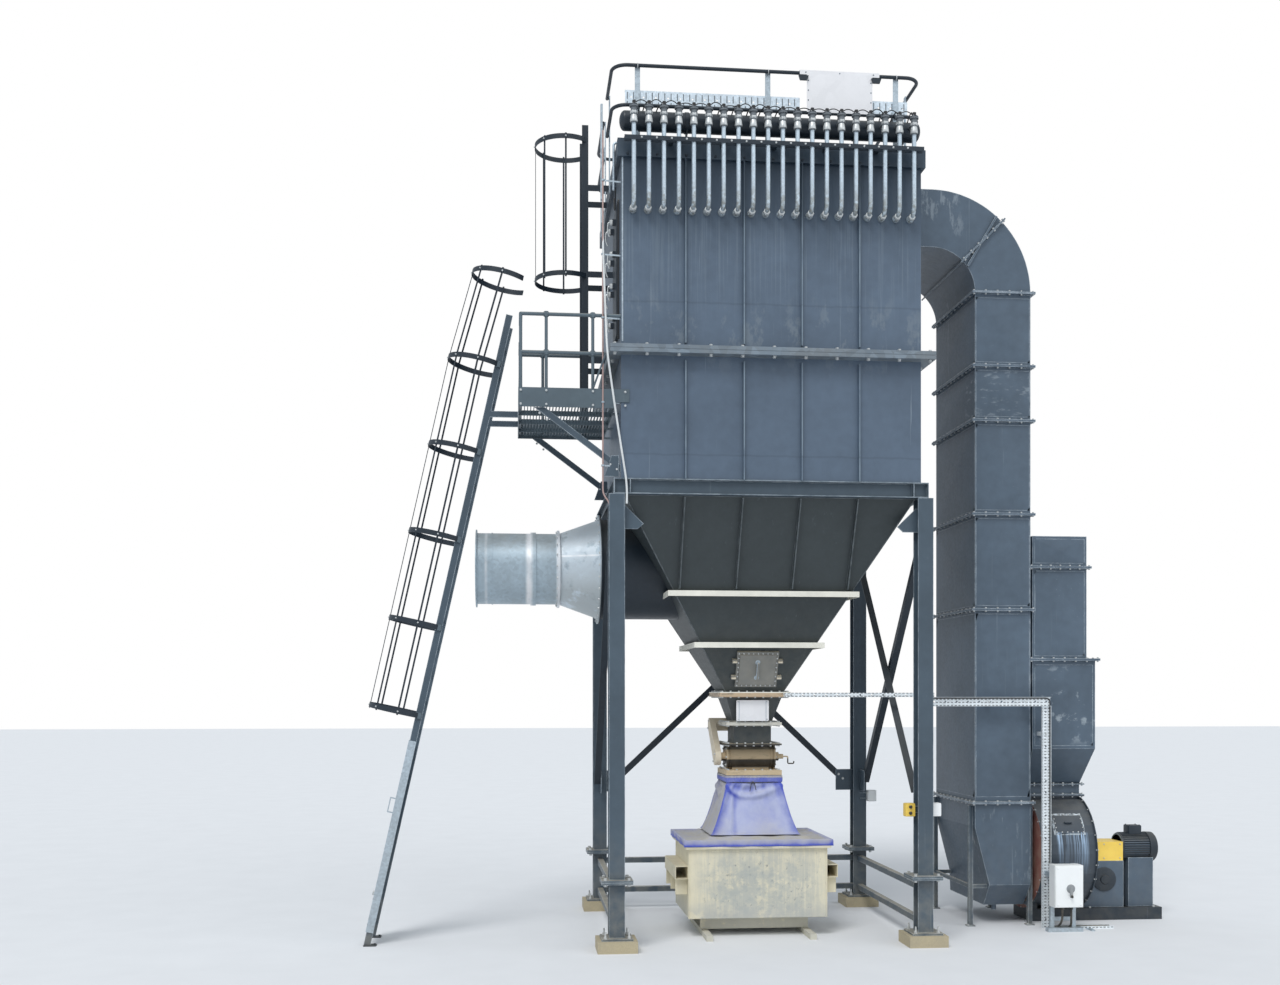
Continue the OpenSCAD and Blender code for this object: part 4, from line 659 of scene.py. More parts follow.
def perforated(made, pitch_x=0.040, pitch_z=0.032, half_x=0.27, half_z=0.12):
    """Rows of short slots painted dark over a finish, as painted shade seen through the holes,
    where
    the face looks forward: the distance to the nearest slot's edge on a repeating cell."""
    position = made.split(made.place())
    slot = made.ramp(made.math("ABSOLUTE", made.split(made.normal())[1]), 0.7, 0.9)
    for number, pitch, half, soft in ((position[0], pitch_x, half_x, 0.04),
                                      (position[2], pitch_z, half_z, 0.05)):
        cell = made.math("FRACT", made.math("DIVIDE", number, pitch))
        off = made.math("ABSOLUTE", made.math("SUBTRACT", cell, 0.5))
        slot = made.times(slot, made.ramp(off, half, half + soft, 1.0, 0.0))
    # Painted shade: the slots are not cut, their dark colour stands for the shade behind the holes
    return made.lay(made.times(slot, 0.85), (0.05, 0.055, 0.06, 1))


def cloth(name, slot, color, faded):
    """Dusty woven sheet: threads, the pale faded colour by the cloth's own value for it, which also
    carries painted highlight on the folds' tops and painted shade in the creases, and tan dust
    where it lies or where the cloth's own "dusty" value says so."""
    made = Finish(name, slot)
    # The first value is fading plus painted fold shading: painted highlight on fold tops, painted
    # shade in creases
    crest, dusty = [made.add("ShaderNodeAttribute", attribute_name=key).outputs["Fac"]
                    for key in ("crest", "dusty")]
    fine = made.noise(9.0, 6.0, 0.7)
    share = made.math("ADD", made.times(crest, 0.92), made.ramp(fine, 0.35, 0.65, -0.10, 0.12),
                      clamp=True)
    speckled = made.times(dusty, made.ramp(fine, 0.30, 0.60, 0.60, 1.0))
    dust = made.math("MAXIMUM", made.use(DUST, Flat=0.45, Film=0.06, Film_top=1.6), speckled)
    made.give("Base Color", made.mix(dust, made.mix(share, color, faded), (0.46, 0.43, 0.36, 1)))
    made.give("Roughness", 0.85)
    made.give("Sheen Weight", 0.2)
    made.bump(made.use(WOVEN, Thread=0.006), 0.0006, 0.6)
    return made


def grout():
    """Sandy cement: speckled, rough, stained."""
    made = Finish("cement grout", "grout")
    sand = made.noise(120.0, 6.0, 0.7)
    stain = made.times(made.use(MOTTLE, Scale=4.0), 0.5)
    color = made.mix(sand, (0.36, 0.29, 0.17, 1), (0.62, 0.55, 0.38, 1))
    made.give("Base Color", made.mix(stain, color, (0.30, 0.27, 0.22, 1)))
    made.give("Roughness", made.ramp(sand, 0.3, 0.7, 0.8, 0.95))
    made.bump(sand, 0.004, 0.6)
    return made


FINISH = {
    "grout": grout(),
    "casing": casing_paint(),
    "frame": paint("frame paint", "frame_paint", (0.060, 0.088, 0.115), rough=0.45, flat=0.5,
                   film=0.20, film_top=1.2, edges=0.8),
    "duct": duct_paint(),
    "scroll": scroll_paint(),
    "outlet": outlet_paint(),
    "hopper": paint("hopper paint", "frame_paint", (0.038, 0.049, 0.053), streaks=0.22, flat=0.85,
                    film=0.22, film_top=3.4, chips=0.15, edges=0.35),
    "rail": paint("rail paint", "frame_paint", (0.095, 0.130, 0.155), rough=0.42, streaks=0.15,
                  flat=0.35, film=0.1, film_top=1.5, chips=0.45, chip_color=CHIP_PALE),
    "ring": paint("dusty ring paint", "frame_paint", (0.82, 0.80, 0.71), rough=0.7, streaks=0.1,
                  flat=0.3, film=0.05, film_top=4.0, chips=0.35,
                  chip_color=(0.10, 0.11, 0.12, 1)),
    "hatch": paint("hatch paint", "dusty_paint", (0.22, 0.22, 0.205), rough=0.6, streaks=0.2,
                   flat=0.7, film=0.3, film_top=4.0, chips=0.2, chip_color=CHIP_BLACK),
    "dark": paint("dark paint", "dark_paint", (0.016, 0.026, 0.038), rough=0.42, streaks=0.12,
                  flat=0.10, film=0.06, film_top=1.0, chips=0.25),
    "dusty": paint("dusty paint", "dusty_paint", (0.80, 0.71, 0.56), rough=0.7, streaks=0.0,
                   flat=0.6, film=0.3, film_top=4.0, chips=0.35, chip_color=CHIP_BLACK),
    "valve": valve_paint(),
    "bin": bin_paint(),
    "oxide": paint("red oxide primer", "red_oxide", (0.26, 0.085, 0.075), rough=0.6, streaks=0.0,
                   flat=0.4, film=0.4, film_top=2.0, chips=0.2),
    "yellow": paint("yellow paint", "yellow_paint", (0.90, 0.62, 0.10), rough=0.4, streaks=0.0,
                    flat=0.2, film=0.1, film_top=1.5),
    "white": paint("white enclosure", "white_enclosure", (0.90, 0.92, 0.92), rough=0.35,
                   streaks=0.0, flat=0.15, film=0.1, film_top=0.8, chips=0.0, spread=0.04),
    "zinc": metal("galvanised steel", "galvanised", (0.52, 0.60, 0.66)),
    "tray": perforated(metal("galvanised tray", "galvanised", (0.84, 0.89, 0.92), metallic=0.2,
                             grime=0.15)),
    "roof tray": perforated(metal("galvanised roof tray", "galvanised", (0.74, 0.84, 0.92),
                                  metallic=0.2, grime=0.15),
                            pitch_x=0.061, pitch_z=0.09, half_x=0.06, half_z=0.36),
    "duct zinc": inlet_zinc(),
    "flange": metal("worn zinc flange", "galvanised", (0.19, 0.24, 0.29), rough=0.45, spangle=0.2,
                    scale=12.0, metallic=0.25, flat=0.35, film=0.0, grime=0.7),
    "pipe": pipe_zinc(),
    "cast": metal("cast valve body", "galvanised", (0.16, 0.18, 0.20), rough=0.5, spangle=0.1,
                  scale=60.0, metallic=0.4, film=0.0, grime=0.3),
    "bolt": metal("plated bolts", "galvanised", (0.66, 0.68, 0.68), rough=0.35, spangle=0.1,
                  scale=90.0, metallic=0.6, flat=0.3, film=0.1, film_top=1.5, grime=0.2),
    "aluminium": metal("aluminium sheet", "aluminium_sheet", (0.86, 0.855, 0.87), rough=0.42,
                       spangle=0.02, scale=9.0, metallic=0.25, flat=0.1, film=0.0, grime=0.06),
    "copper conduit": metal("copper pipe", "dusty_paint", (0.52, 0.36, 0.33), rough=0.4,
                            spangle=0.05, scale=40.0, metallic=0.5, flat=0.1, film=0.0),
    "grey plastic": moulded("grey plastic", "grey_plastic", (0.30, 0.32, 0.34)),
    "black plastic": moulded("black plastic", "dark_paint", (0.02, 0.02, 0.022), rough=0.45),
    "cable": moulded("cable sheath", "dark_paint", (0.018, 0.018, 0.02), film=0.2),
    "pale conduit": moulded("pale conduit", "white_enclosure", (0.70, 0.72, 0.72), rough=0.45,
                            film=0.0),
    "cloth": cloth("blue cloth", "blue_fabric", (0.060, 0.095, 0.52, 1), (0.46, 0.50, 0.72, 1)),
}

# Which solids wear which finish
NODE_FINISH = {
    "grout": ["plinths"],
    "frame": ["stub_legs", "columns", "tie_beams", "gusset_plates", "base_frame",
              "platform_braces", "plenum_stand", "lower_ladder"],
    "duct": ["outlet_elbow", "outlet_duct", "outlet_plenum", "discharge_duct", "fan_drive"],
    "scroll": ["fan_scroll"],
    "hopper": ["hopper"],
    "outlet": ["hopper_outlet"],
    "ring": ["hopper_rings"],
    "casing": ["lower_casing", "upper_casing"],
    "dark": ["diagonal_braces", "access_door", "pipe_rail", "air_tank", "tank_stands",
             "roof_rails", "inlet_spigot", "fan_base", "upper_ladder", "cage_hoops",
             "cage_straps"],
    "rail": ["platform_rails", "platform_deck", "ladder_rungs"],
    "hatch": ["inspection_hatch"],
    "valve": ["rotary_valve"],
    "flange": ["joint_flange"],
    "zinc": ["roof_deck", "guard_posts", "ladder_guard", "isolator_stand"],
    "cast": ["pulse_valves"],
    "tray": ["duct_cable_tray", "hopper_cable_tray"],
    "roof tray": ["roof_cable_tray"],
    "duct zinc": ["inlet_duct", "inlet_cone"],
    "pipe": ["drop_pipes"],
    "aluminium": ["hung_panel"],
    "dusty": ["valve_drive"],
    "bin": ["dust_bin", "fork_pockets", "bin_skids"],
    "oxide": ["fan_inlet_cone"],
    "yellow": ["drive_guard"],
    "white": ["isolator_box"],
    "grey plastic": ["isolator_handle"],
}
for finish_name, node_names in NODE_FINISH.items():
    for node_name in node_names:
        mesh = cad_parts[node_name].data
        mesh.materials.clear()
        mesh.materials.append(FINISH[finish_name].material)

UP, FRONT, BACK, LEFT, RIGHT = (0, 0, 1), (0, -1, 0), (0, 1, 0), (-1, 0, 0), (1, 0, 0)
BOTH = (-1, 1)
# Widths of bolt heads across their flats
M8, M10, M12, M16, M20 = 0.013, 0.016, 0.019, 0.024, 0.030


# ---------------------------------------------------------------- bolts
def bolt(across, grip=0.0, stud=0.0):
    """Hexagon head on a washer, its seat at z = 0. Stud is the length of a thread's end above
    it, and grip the thickness with a second head under it."""
    head = 0.62 * across
    parts = [slab(circle(0.62 * across, 10), [(0, 1), (0.12 * across, 0.97)]),
             slab(circle(0.56 * across, 6), [(0.12 * across, 1), (head, 1),
                                             (head + 0.07 * across, 0.86)])]
    if stud:
        parts.append(slab(circle(0.3 * across, 8), [(head, 1), (head + stud, 0.95)]))
    if grip:
        points, faces = joined(*parts)
        parts.append((points * [1, -1, -1] - [0, 0, grip], faces))
    return joined(*parts)


casing_low, casing_high = sides_of("upper_casing")
flange_low, flange_high = sides_of("joint_flange")
piece("joint_bolts", "bolt",
      copies(bolt(M20, flange_high[2] - flange_low[2]),
             around_frame(*(flange_high[:2] - 0.045), flange_high[2], 0.30), UP))

# Legs: holding-down studs and splice bolts, four at each leg
LEG_X, LEG_Y = 1.5, 1.2
PLATE_THICK, PLATE_CORNER = 0.02, 0.112
legs = np.array([[x, y] for x in (-LEG_X, LEG_X) for y in (-LEG_Y, LEG_Y)])
corners = np.array([[x, y] for x in BOTH for y in BOTH]) * PLATE_CORNER
spots = (legs[:, None] + corners[None]).reshape(-1, 2)
plinth_top, splice = sides_of("plinths")[1][2], sides_of("columns")[0][2]
piece("holding_down_studs", "bolt",
      copies(bolt(M20, stud=0.045), flat_at(spots, plinth_top + PLATE_THICK), UP))
piece("splice_bolts", "bolt",
      copies(bolt(M20, 2 * PLATE_THICK), flat_at(spots, splice + PLATE_THICK), UP))

# Gusset bolts: two at each end of each brace, clear of the crossing. At each end of the frame
# one brace of the pair lies further out than the other
brace_x, brace_y = LEG_X - 0.17, LEG_Y - 0.17
places, axes = [], []
for s in BOTH:
    for end in BOTH:
        for z, rise in ((1.45, 1), (3.95, -1)):
            outer = (end < 0) == (rise < 0)
            for step in (0.02, 0.09):
                places.append([s * (LEG_X + (0.015 if outer else 0.005)),
                               end * (brace_y - 0.66 * step), z + rise * 0.75 * step])
                axes.append([s, 0, 0])
                if s > 0:
                    places.append([end * (brace_x - 0.7 * step),
                                   LEG_Y - (0.005 if outer else 0.015), z + rise * 0.7 * step])
                    axes.append(FRONT)
piece("brace_bolts", "bolt", copies(bolt(M16), places, axes))

# Hopper outlet, throat and rotary valve flanges: half sizes, height, pitch, grip
outlet_top = sides_of("hopper_outlet")[1]
valve_low, valve_high = sides_of("rotary_valve")
throat = (0.265, 0.265)
piece("valve_flange_bolts", "bolt", *[
    copies(bolt(M12, grip), around_frame(*half, z, pitch), UP) for half, z, pitch, grip in
    ((outlet_top[:2] - 0.03, outlet_top[2] + 0.010, 0.085, 0.05), (throat, 2.146, 0.088, 0.032),
     (throat, valve_high[2], 0.088, 0.016), (throat, valve_low[2] + 0.05, 0.088, 0.0))])

# Outlet duct's flanges
duct_low, duct_high = sides_of("outlet_duct")
duct_mid = (duct_low + duct_high) / 2
duct_front, duct_left = duct_low[1] + 0.04, duct_low[0] + 0.04
duct_bolts = (duct_high - duct_low)[:2] / 2 - 0.02
piece("duct_flange_bolts", "bolt", *[
    copies(bolt(M12, 0.024), around_frame(*duct_bolts, z, 0.118, duct_mid[:2]), UP)
    for z in (5.884, 5.314, 4.334, 3.334, 1.312, duct_high[2] + 0.012)])
# Flanges of the fan's duct: half sizes, height, centre, grip, and how far back they are bolted
fan_bolts = []
for half, z, centre, grip, back in (((0.32, 0.425), 1.359, (3.32, 0.405), 0.024, 9),
                                    ((0.32, 0.425), 1.472, (3.32, 0.405), 0.012, 9),
                                    ((0.365, 0.57), 2.815, (3.32, 0.26), 0.024, 9),
                                    ((0.3175, 0.57), 3.79, (3.2725, 0.26), 0.024, 0.8)):
    around = around_frame(*half, z, 0.115, centre)
    fan_bolts.append(copies(bolt(M12, grip), around[around[:, 1] < back], UP))
piece("fan_duct_bolts", "bolt", *fan_bolts)

# Round inlet flanges: place along the duct, radius of the bolts' circle, their number
piece("inlet_flange_bolts", "bolt", *[
    copies(bolt(M12, 0.012), ring_points((x, 0, 3.735), LEFT, radius, count), LEFT)
    for x, radius, count in ((-2.026, 0.382, 20), (-1.610, 0.54, 28))])

# ---------------------------------------------------------------- outlet elbow
BEND_INNER, BEND_OUTER = 0.46, 1.06
bend = np.array([duct_left - BEND_INNER, duct_mid[1], duct_high[2]])
slope = np.array([math.sin(math.pi / 4), 0, math.cos(math.pi / 4)])
across = np.array([-slope[2], 0, slope[0]])
reach = np.linspace(BEND_INNER + 0.02, BEND_OUTER - 0.02, 6)
joint_edges = np.concatenate([
    bend + slope * (BEND_OUTER + 0.018) + np.array(BACK) * np.linspace(-0.63, 0.63, 12)[:, None],
    [bend + slope * r + [0, s * 0.643, 0] for r in reach for s in BOTH]])
piece("elbow_joint_bolts", "bolt", copies(bolt(M12, 0.016), joint_edges + across * 0.008, across))
collar = around_frame(0.29, 0.65, 0.0, 0.12)[:, [2, 1, 0]] + [1.52, duct_mid[1], 7.40]
piece("collar_bolts", "bolt", copies(bolt(M12), collar, RIGHT))
# Flat stiffener across the face of the lower half of the bend: radius and angle of its ends
piece("elbow_stiffener", "duct",
      swept([[bend[0] + r * math.cos(a), duct_front - 0.012, bend[2] + r * math.sin(a)]
             for r, a in ((0.46, 0.62), (1.05, 0.86))], rounded(0.024, 0.03, 0.004)))


def backed_sheet(height_at, count, width, height, thickness):
    """Sheet over a square grid u, v from -1 to 1, its front at height_at(u, v), with a flat
    back and a skirt of faces between their edges."""
    u, v = np.meshgrid(np.linspace(-1, 1, count), np.linspace(-1, 1, count))
    front = np.stack([u * width / 2, v * height / 2, height_at(u, v)], -1).reshape(-1, 3)
    back = front * [1, 1, 0] - [0, 0, thickness]
    faces = grid_faces(count, count, False)
    total, step = count * count, np.arange(1, count)
    edge = np.concatenate([np.arange(count), step * count + count - 1, total - 1 - step,
                           step[-2::-1] * count])
    skirt = np.column_stack([edge + total, np.roll(edge, -1) + total, np.roll(edge, -1), edge])
    return np.concatenate([front, back]), [faces, faces[:, ::-1] + total, skirt]


def creased_panel(width, height):
    """Panel with a diagonal cross-break: its front rises as 1 - max(|u|, |v|)."""
    return backed_sheet(lambda u, v: 0.014 * (1 - np.maximum(np.abs(u), np.abs(v))), 25, width,
                        height, 0.004)


def creased_panels(places, axis):
    """Creased panels at places of (centre, width, height), facing along axis."""
    return [copies(creased_panel(width, height), centre, axis) for centre, width, height in places]


# Cross-broken panels of the outlet duct between its joints, and of the fan's duct
joints = ((1.33, 3.31), (3.334, 4.31), (4.334, 5.29), (5.314, 5.86), (5.884, 6.62))
bays = [((a + b) / 2, b - a - 0.06) for a, b in joints]
piece("cross_broken_panels", "duct", *creased_panels(
    [((3.2725, -0.29, 3.29), 0.55, 0.90), ((3.32, -0.29, 2.32), 0.64, 0.86),
     ((3.2725, -0.29, 3.95), 0.55, 0.26)]
    + [((duct_mid[0], duct_front, z), 0.58, tall) for z, tall in bays], FRONT), smooth=3.0)
piece("duct_side_panels", "duct",
      *creased_panels([((duct_left, duct_mid[1], z), 1.22, tall) for z, tall in bays], LEFT),
      *creased_panels([((2 * duct_mid[0] - duct_left, duct_mid[1], z), 1.22, tall)
                       for z, tall in bays]
                      + [((3.57, 0.26, 3.29), 1.04, 0.90), ((3.665, 0.26, 2.32), 1.04, 0.86)],
                      RIGHT),
      *creased_panels([((duct_mid[0], 2 * duct_mid[1] - duct_front, z), 0.58, tall)
                       for z, tall in bays]
                      + [((3.2725, 0.81, 3.24), 0.55, 0.80), ((3.32, 0.81, 2.32), 0.64, 0.86)],
                      BACK), smooth=3.0)

# ---------------------------------------------------------------- pulse valves
VALVES, VALVE_PITCH = 20, 0.142
PIPE_Y, TANK_Y, TANK_Z = -1.385, -1.17, 7.912
SOCKET_Z = 7.035
valve_x = (np.arange(VALVES) - (VALVES - 1) / 2) * VALVE_PITCH


def along_valves(y, z):
    """One place for each valve."""
    return flat_at(np.column_stack([valve_x, np.full(VALVES, y)]), z)


# Bonnet with a rolled rim and six screws, and the solenoid block on it
bonnet = turned([(0.038, 0), (0.0412, 0.004), (0.0412, 0.012), (0.038, 0.018), (0.018, 0.020),
                 (0.016, 0.021)], 20)
piece("valve_bonnets", "dark", copies(bonnet, along_valves(PIPE_Y, TANK_Z + 0.044), UP))
coil = slab(rounded(0.032, 0.040, 0.006, 3), [(0, 1), (0.034, 1), (0.038, 0.85)])
piece("valve_coils", "black plastic", copies(coil, along_valves(PIPE_Y, TANK_Z + 0.062), UP))
screw = slab(circle(0.005, 6), [(0, 1), (0.006, 0.9)])
screws = along_valves(PIPE_Y, TANK_Z + 0.060)[:, None] + flat_at(circle(0.034, 6), 0)[None]
piece("bonnet_screws", "bolt", copies(screw, screws.reshape(-1, 3), UP))
# Bell-shaped coupling with a hexagon collar under each valve
nut = slab(circle(0.036, 6), [(0, 0.9), (0.005, 1), (0.023, 1), (0.028, 0.9)])
bell = turned([(0.0225, 0.034), (0.027, 0.032), (0.031, 0.012), (0.035, -0.016),
               (0.037, -0.034), (0.035, -0.042), (0.0225, -0.044)], 24)
piece("valve_bells", "bolt", copies(bell, along_valves(PIPE_Y, TANK_Z - 0.062), UP),
      copies(nut, along_valves(PIPE_Y, TANK_Z - 0.028), UP))
# Wiring from coil to coil and up into the tray behind, each run with a slack of its own
slack = np.random.default_rng(7)
coil_tops = along_valves(PIPE_Y + 0.02, TANK_Z + 0.062)
wires = [swept(sagging(a + [0.012, 0.0, 0.026], b + [-0.012, 0.0, 0.026],
                       -slack.uniform(0.010, 0.040)), circle(0.005, 6))
         for a, b in zip(coil_tops[:-1], coil_tops[1:])]
for top in coil_tops:
    lean, rise = slack.uniform(-0.07, 0.07), slack.uniform(0.03, 0.06)
    wires.append(pipe(top + np.array([[0, 0.012, 0.02], [0.2 * lean, 0.05, 0.02 + rise],
                                      [0.7 * lean, 0.11, 0.02 + 0.5 * rise],
                                      [lean, 0.16, -0.005]]), 0.006, 0.03, 8))
harness = coil_tops + [0, 0.15, 0]
harness[:, 2] += slack.uniform(-0.012, 0.012, VALVES)
piece("valve_wiring", "cable", *wires, pipe(harness, 0.009, 0.04, 8))
# Unions with six flats where the pipes enter the casing
union = joined(slab(circle(0.0355, 6), [(0, 0.92), (0.005, 1), (0.022, 1), (0.027, 0.92)]),
               turned([(0.0215, -0.012), (0.027, -0.010), (0.027, 0.036), (0.0215, 0.038)], 20))
piece("pipe_unions", "bolt", copies(union, along_valves(-1.298, SOCKET_Z), FRONT))
# Bolts that draw the two clamp bars together, one between each two pipes
clamps = along_valves(-1.414, casing_high[2] - 0.042)
piece("clamp_bar_bolts", "bolt", copies(bolt(M10), (clamps[:-1] + clamps[1:]) / 2, FRONT))
# Weld beads round the pipe sockets on the casing
bead = turned([(0.030, 0), (0.038, 0.002), (0.036, 0.008), (0.030, 0.010)], 16)
piece("socket_welds", "flange", copies(bead, along_valves(-1.25, SOCKET_Z), FRONT))

# Tank: end straps and the air line down into the casing
strap = turned([(0.092, -0.02), (0.098, -0.018), (0.098, 0.018), (0.092, 0.02)], 32)
piece("tank_straps", "dark",
      copies(strap, [[x, TANK_Y, TANK_Z] for x in (-0.825, 0.825)], RIGHT))
piece("tank_air_line", "pipe",
      pipe([[-1.30, TANK_Y, 7.83], [-1.30, TANK_Y, 7.76], [-1.30, -1.02, 7.76],
            [-1.44, -1.02, 7.76], [-1.512, -1.02, 7.76], [-1.512, -1.02, 7.3]], 0.012, 0.03))

# ---------------------------------------------------------------- roof edge and rails
roof = casing_high[2]
piece("band_bolts", "dark",
      copies(bolt(M12), row(*[[x, casing_low[1], roof - 0.145] for x in (-1.4, 1.4)], 0.28),
             FRONT))
# U-clips that hold the two rails against the posts
bend_angle = np.linspace(0, np.pi, 9)
clip = np.column_stack([np.zeros(9), -0.022 * np.sin(bend_angle), 0.022 * np.cos(bend_angle)])
piece("rail_clips", "bolt", *[
    swept([x, y, z] + clip * [1, inward, 1], circle(0.004, 6))
    for x in (-1.28, 0, 1.28) for y, inward in ((-1.03, 1), (1.19, -1))
    for z in (roof + 0.43, roof + 0.8115)])

panel_low, panel_high = sides_of("hung_panel")
panel_face = panel_low[1]
rivet = turned([(0.007, 0), (0.006, 0.003), (0.0005, 0.0045)], 10)
rivets = [[x, panel_face, z] for x in (panel_low[0] + 0.085, panel_high[0] - 0.085)
          for z in np.linspace(panel_low[2] + 0.02, panel_high[2] - 0.10, 4)]
rivets += [[x, panel_face, panel_high[2] - 0.02]
           for x in np.linspace(panel_low[0] + 0.06, panel_high[0] - 0.06, 3)]
piece("panel_rivets", "flange", copies(rivet, rivets, FRONT))
bracket = slab(np.array([[-0.035, -0.02], [0.035, -0.02], [0.05, 0.025], [-0.05, 0.025]]),
               [(0, 1), (0.02, 1)])
piece("panel_brackets", "dark",
      copies(bracket, [[x, panel_face, panel_high[2] - 0.085]
                       for x in (panel_low[0] + 0.035, panel_high[0] - 0.035)], FRONT))

# ---------------------------------------------------------------- left side of the casing
WALL, CONDUIT_Y, COPPER_X = -1.46, -1.262, -1.633
piece("copper_conduit", "copper conduit",
      pipe([[COPPER_X, CONDUIT_Y, 7.77], [COPPER_X, CONDUIT_Y, 4.33],
            [-1.565, CONDUIT_Y, 4.246], [-1.565, CONDUIT_Y, 4.19]], 0.008))
piece("pale_conduit", "pale conduit",
      pipe([[-1.628, -1.23, 7.02], [-1.632, -1.27, 6.636], [-1.607, -1.27, 6.0],
            [-1.602, -1.40, 5.64], [-1.518, -1.30, 5.13], [-1.404, -1.29, 4.408],
            [-1.408, -1.285, 4.24]], 0.010, 0.12))
# Stand-off clips between the casing and the copper conduit
clip_heights = (7.3, 6.6, 6.0, 5.2, 4.6)
ring = turned([(0.011, -0.008), (0.016, -0.008), (0.016, 0.008), (0.011, 0.008)], 16)
piece("conduit_clips", "zinc",
      *[swept([[COPPER_X, CONDUIT_Y + 0.004, z], [WALL, CONDUIT_Y + 0.03, z]],
              rounded(0.003, 0.016, 0.001, 2)) for z in clip_heights],
      copies(ring, [[COPPER_X, CONDUIT_Y, z] for z in clip_heights], UP))
piece("corner_strip", "zinc", copies(plate(0.014, 1.75, 0.003), [-1.446, -1.251, 6.66], FRONT))

lever = joined(slab(rounded(0.03, 0.05, 0.006), [(0, 1), (0.03, 0.9)]),
               pipe([[0, 0, 0.02], [0, 0, 0.045], [0, -0.09, 0.05], [0, -0.14, 0.03]], 0.007,
                    0.02, 8))
door_face = sides_of("access_door")[0][0] + 0.004
piece("door_levers", "bolt",
      copies(lever, [[door_face, -0.82 + s * 0.13, z] for z in (6.085, 6.395, 6.705, 7.015)
                     for s in BOTH], LEFT))
piece("door_seal", "black plastic",
      pipe([[WALL - 0.006, y, z] for y, z in ((-1.05, 5.86), (-1.05, 7.20), (-0.59, 7.20),
                                              (-0.59, 5.86))], 0.012, 0.03))
piece("air_hose_loop", "cable",
      swept(sagging([-1.50, -1.10, 7.30], [-1.50, -0.92, 7.26], 0.16), circle(0.007, 8)))

# Thin galvanised post beside the roof edge, and the rod from the flange to the platform rail
piece("corner_post", "zinc",
      swept([[-1.63, -1.03, 7.20], [-1.63, -1.03, 8.12]], rounded(0.041, 0.021, 0.003, 2)),
      copies(plate(0.10, 0.06, 0.006), [[-1.609, -1.03, z] for z in (7.60, 7.66)], RIGHT))
piece("platform_stay_rod", "rail", pipe([[-1.607, -1.27, 5.656], [-1.721, -1.27, 5.339]], 0.009))

# ---------------------------------------------------------------- ladders and cages
TILT = math.radians(12.6)
HOOP_RADIUS, HALF_LADDER, HOOP_RISE = 0.305, 0.23, 0.025
FIRST_HOOP, HOOP_PITCH, LAST_SHIFT = 2.257, 0.88, 0.045
foot = np.array([-3.888, -0.525, 0.0])
along_ladder = np.array([math.sin(TILT), 0, math.cos(TILT)])
out_ladder = np.array([-math.cos(TILT), 0, math.sin(TILT)])
hoop_centre = math.sqrt(HOOP_RADIUS ** 2 - HALF_LADDER ** 2)


def cage_bolts(base, along, out, heights):
    """Bolt heads on the outside of each hoop, at its five straps."""
    side = np.cross(along, out)
    angle = np.radians([-90, -45, 0, 45, 90])[:, None]
    axes = out * np.cos(angle) + side * np.sin(angle)
    return [copies(bolt(0.014), base + along * (z + HOOP_RISE) + out * hoop_centre
                   + axes * (HOOP_RADIUS + 0.006), axes) for z in heights]


# The lower cage's last hoop stands nearer to the ladder than the others
lower_hoops = [FIRST_HOOP + i * HOOP_PITCH for i in range(6)]
upper_base = np.array([-1.745, -0.02, 5.205])
piece("cage_bolts", "bolt",
      *cage_bolts(foot, along_ladder, out_ladder, lower_hoops[:5]),
      *cage_bolts(foot - out_ladder * LAST_SHIFT, along_ladder, out_ladder, lower_hoops[5:]),
      *cage_bolts(upper_base, np.array(UP), np.array(LEFT), (1.49, 2.88)))
# Stile clamps where the hoops meet the lower ladder
clamp_block = slab(rounded(0.05, 0.016, 0.003), [(-0.03, 1), (0.03, 1)])
piece("stile_clamps", "rail",
      copies(clamp_block, [foot + along_ladder * (z + HOOP_RISE) + [0, s * (HALF_LADDER + 0.008), 0]
                           for z in lower_hoops[:5] for s in BOTH], along_ladder, BACK))
piece("ladder_feet", "dark",
      copies(plate(0.125, 0.10, 0.010, 0.01), [foot + [0.03, s * 0.225, 0] for s in BOTH], UP),
      copies(bolt(M12), [foot + [0.075, s * 0.225, 0.010] for s in BOTH], UP))


def on_guard(across_y, along_z, out_x):
    """A place on the sloping ladder's guard: across, along and outwards from the stiles."""
    return foot + [0, across_y, 0] + along_ladder * along_z + out_ladder * out_x


# Hasp with a padlock, and edge rivets of the ladder guard
piece("guard_hasp", "bolt", copies(plate(0.05, 0.12, 0.004), on_guard(-0.15, 0.56, 0.0425),
                                   out_ladder),
      copies(slab(rounded(0.042, 0.038, 0.006), [(0, 1), (0.018, 0.96)]),
             on_guard(-0.15, 0.50, 0.046), out_ladder), body="guard", slot="galvanised")
piece("guard_rivets", "bolt",
      copies(rivet, [on_guard(y, z, 0.0415) for y in (-0.215, 0.10)
                     for z in np.linspace(0.2, 1.95, 8)], out_ladder),
      body="guard", slot="galvanised")

# Platform: brace bolts, cross clamps where the rails meet the posts, and the braces' gussets
piece("platform_bolts", "bolt",
      copies(bolt(M12), [[x, y, z] for y in (-1.240, 0.264) for x, z in
                         ((-2.23, 5.09), (-2.16, 5.03), (-1.56, 4.615), (-1.50, 4.57))], FRONT),
      copies(bolt(M12), [[x, -1.26, z] for x in (-2.407, -2.167, -1.727, -1.42)
                         for z in (5.17, 5.30)], FRONT))
clamp_ring = turned([(0.016, -0.026), (0.022, -0.024), (0.022, 0.024), (0.016, 0.026)], 18)
crossings = [[x, y, z] for x in (-2.167, -1.727) for y in (-1.237, 0.267)
             for z in (5.664, 6.025)]
piece("rail_cross_clamps", "rail", *[copies(clamp_ring, crossings, axis) for axis in (RIGHT, UP)])
gusset = slab(np.array([[-0.09, -0.10], [0.05, -0.10], [0.05, 0.10], [-0.02, 0.10]]),
              [(0, 1), (0.008, 1)])
piece("brace_end_plate", "frame", copies(gusset, [[-1.53, y, 4.60] for y in (-1.241, 0.263)],
                                         FRONT))

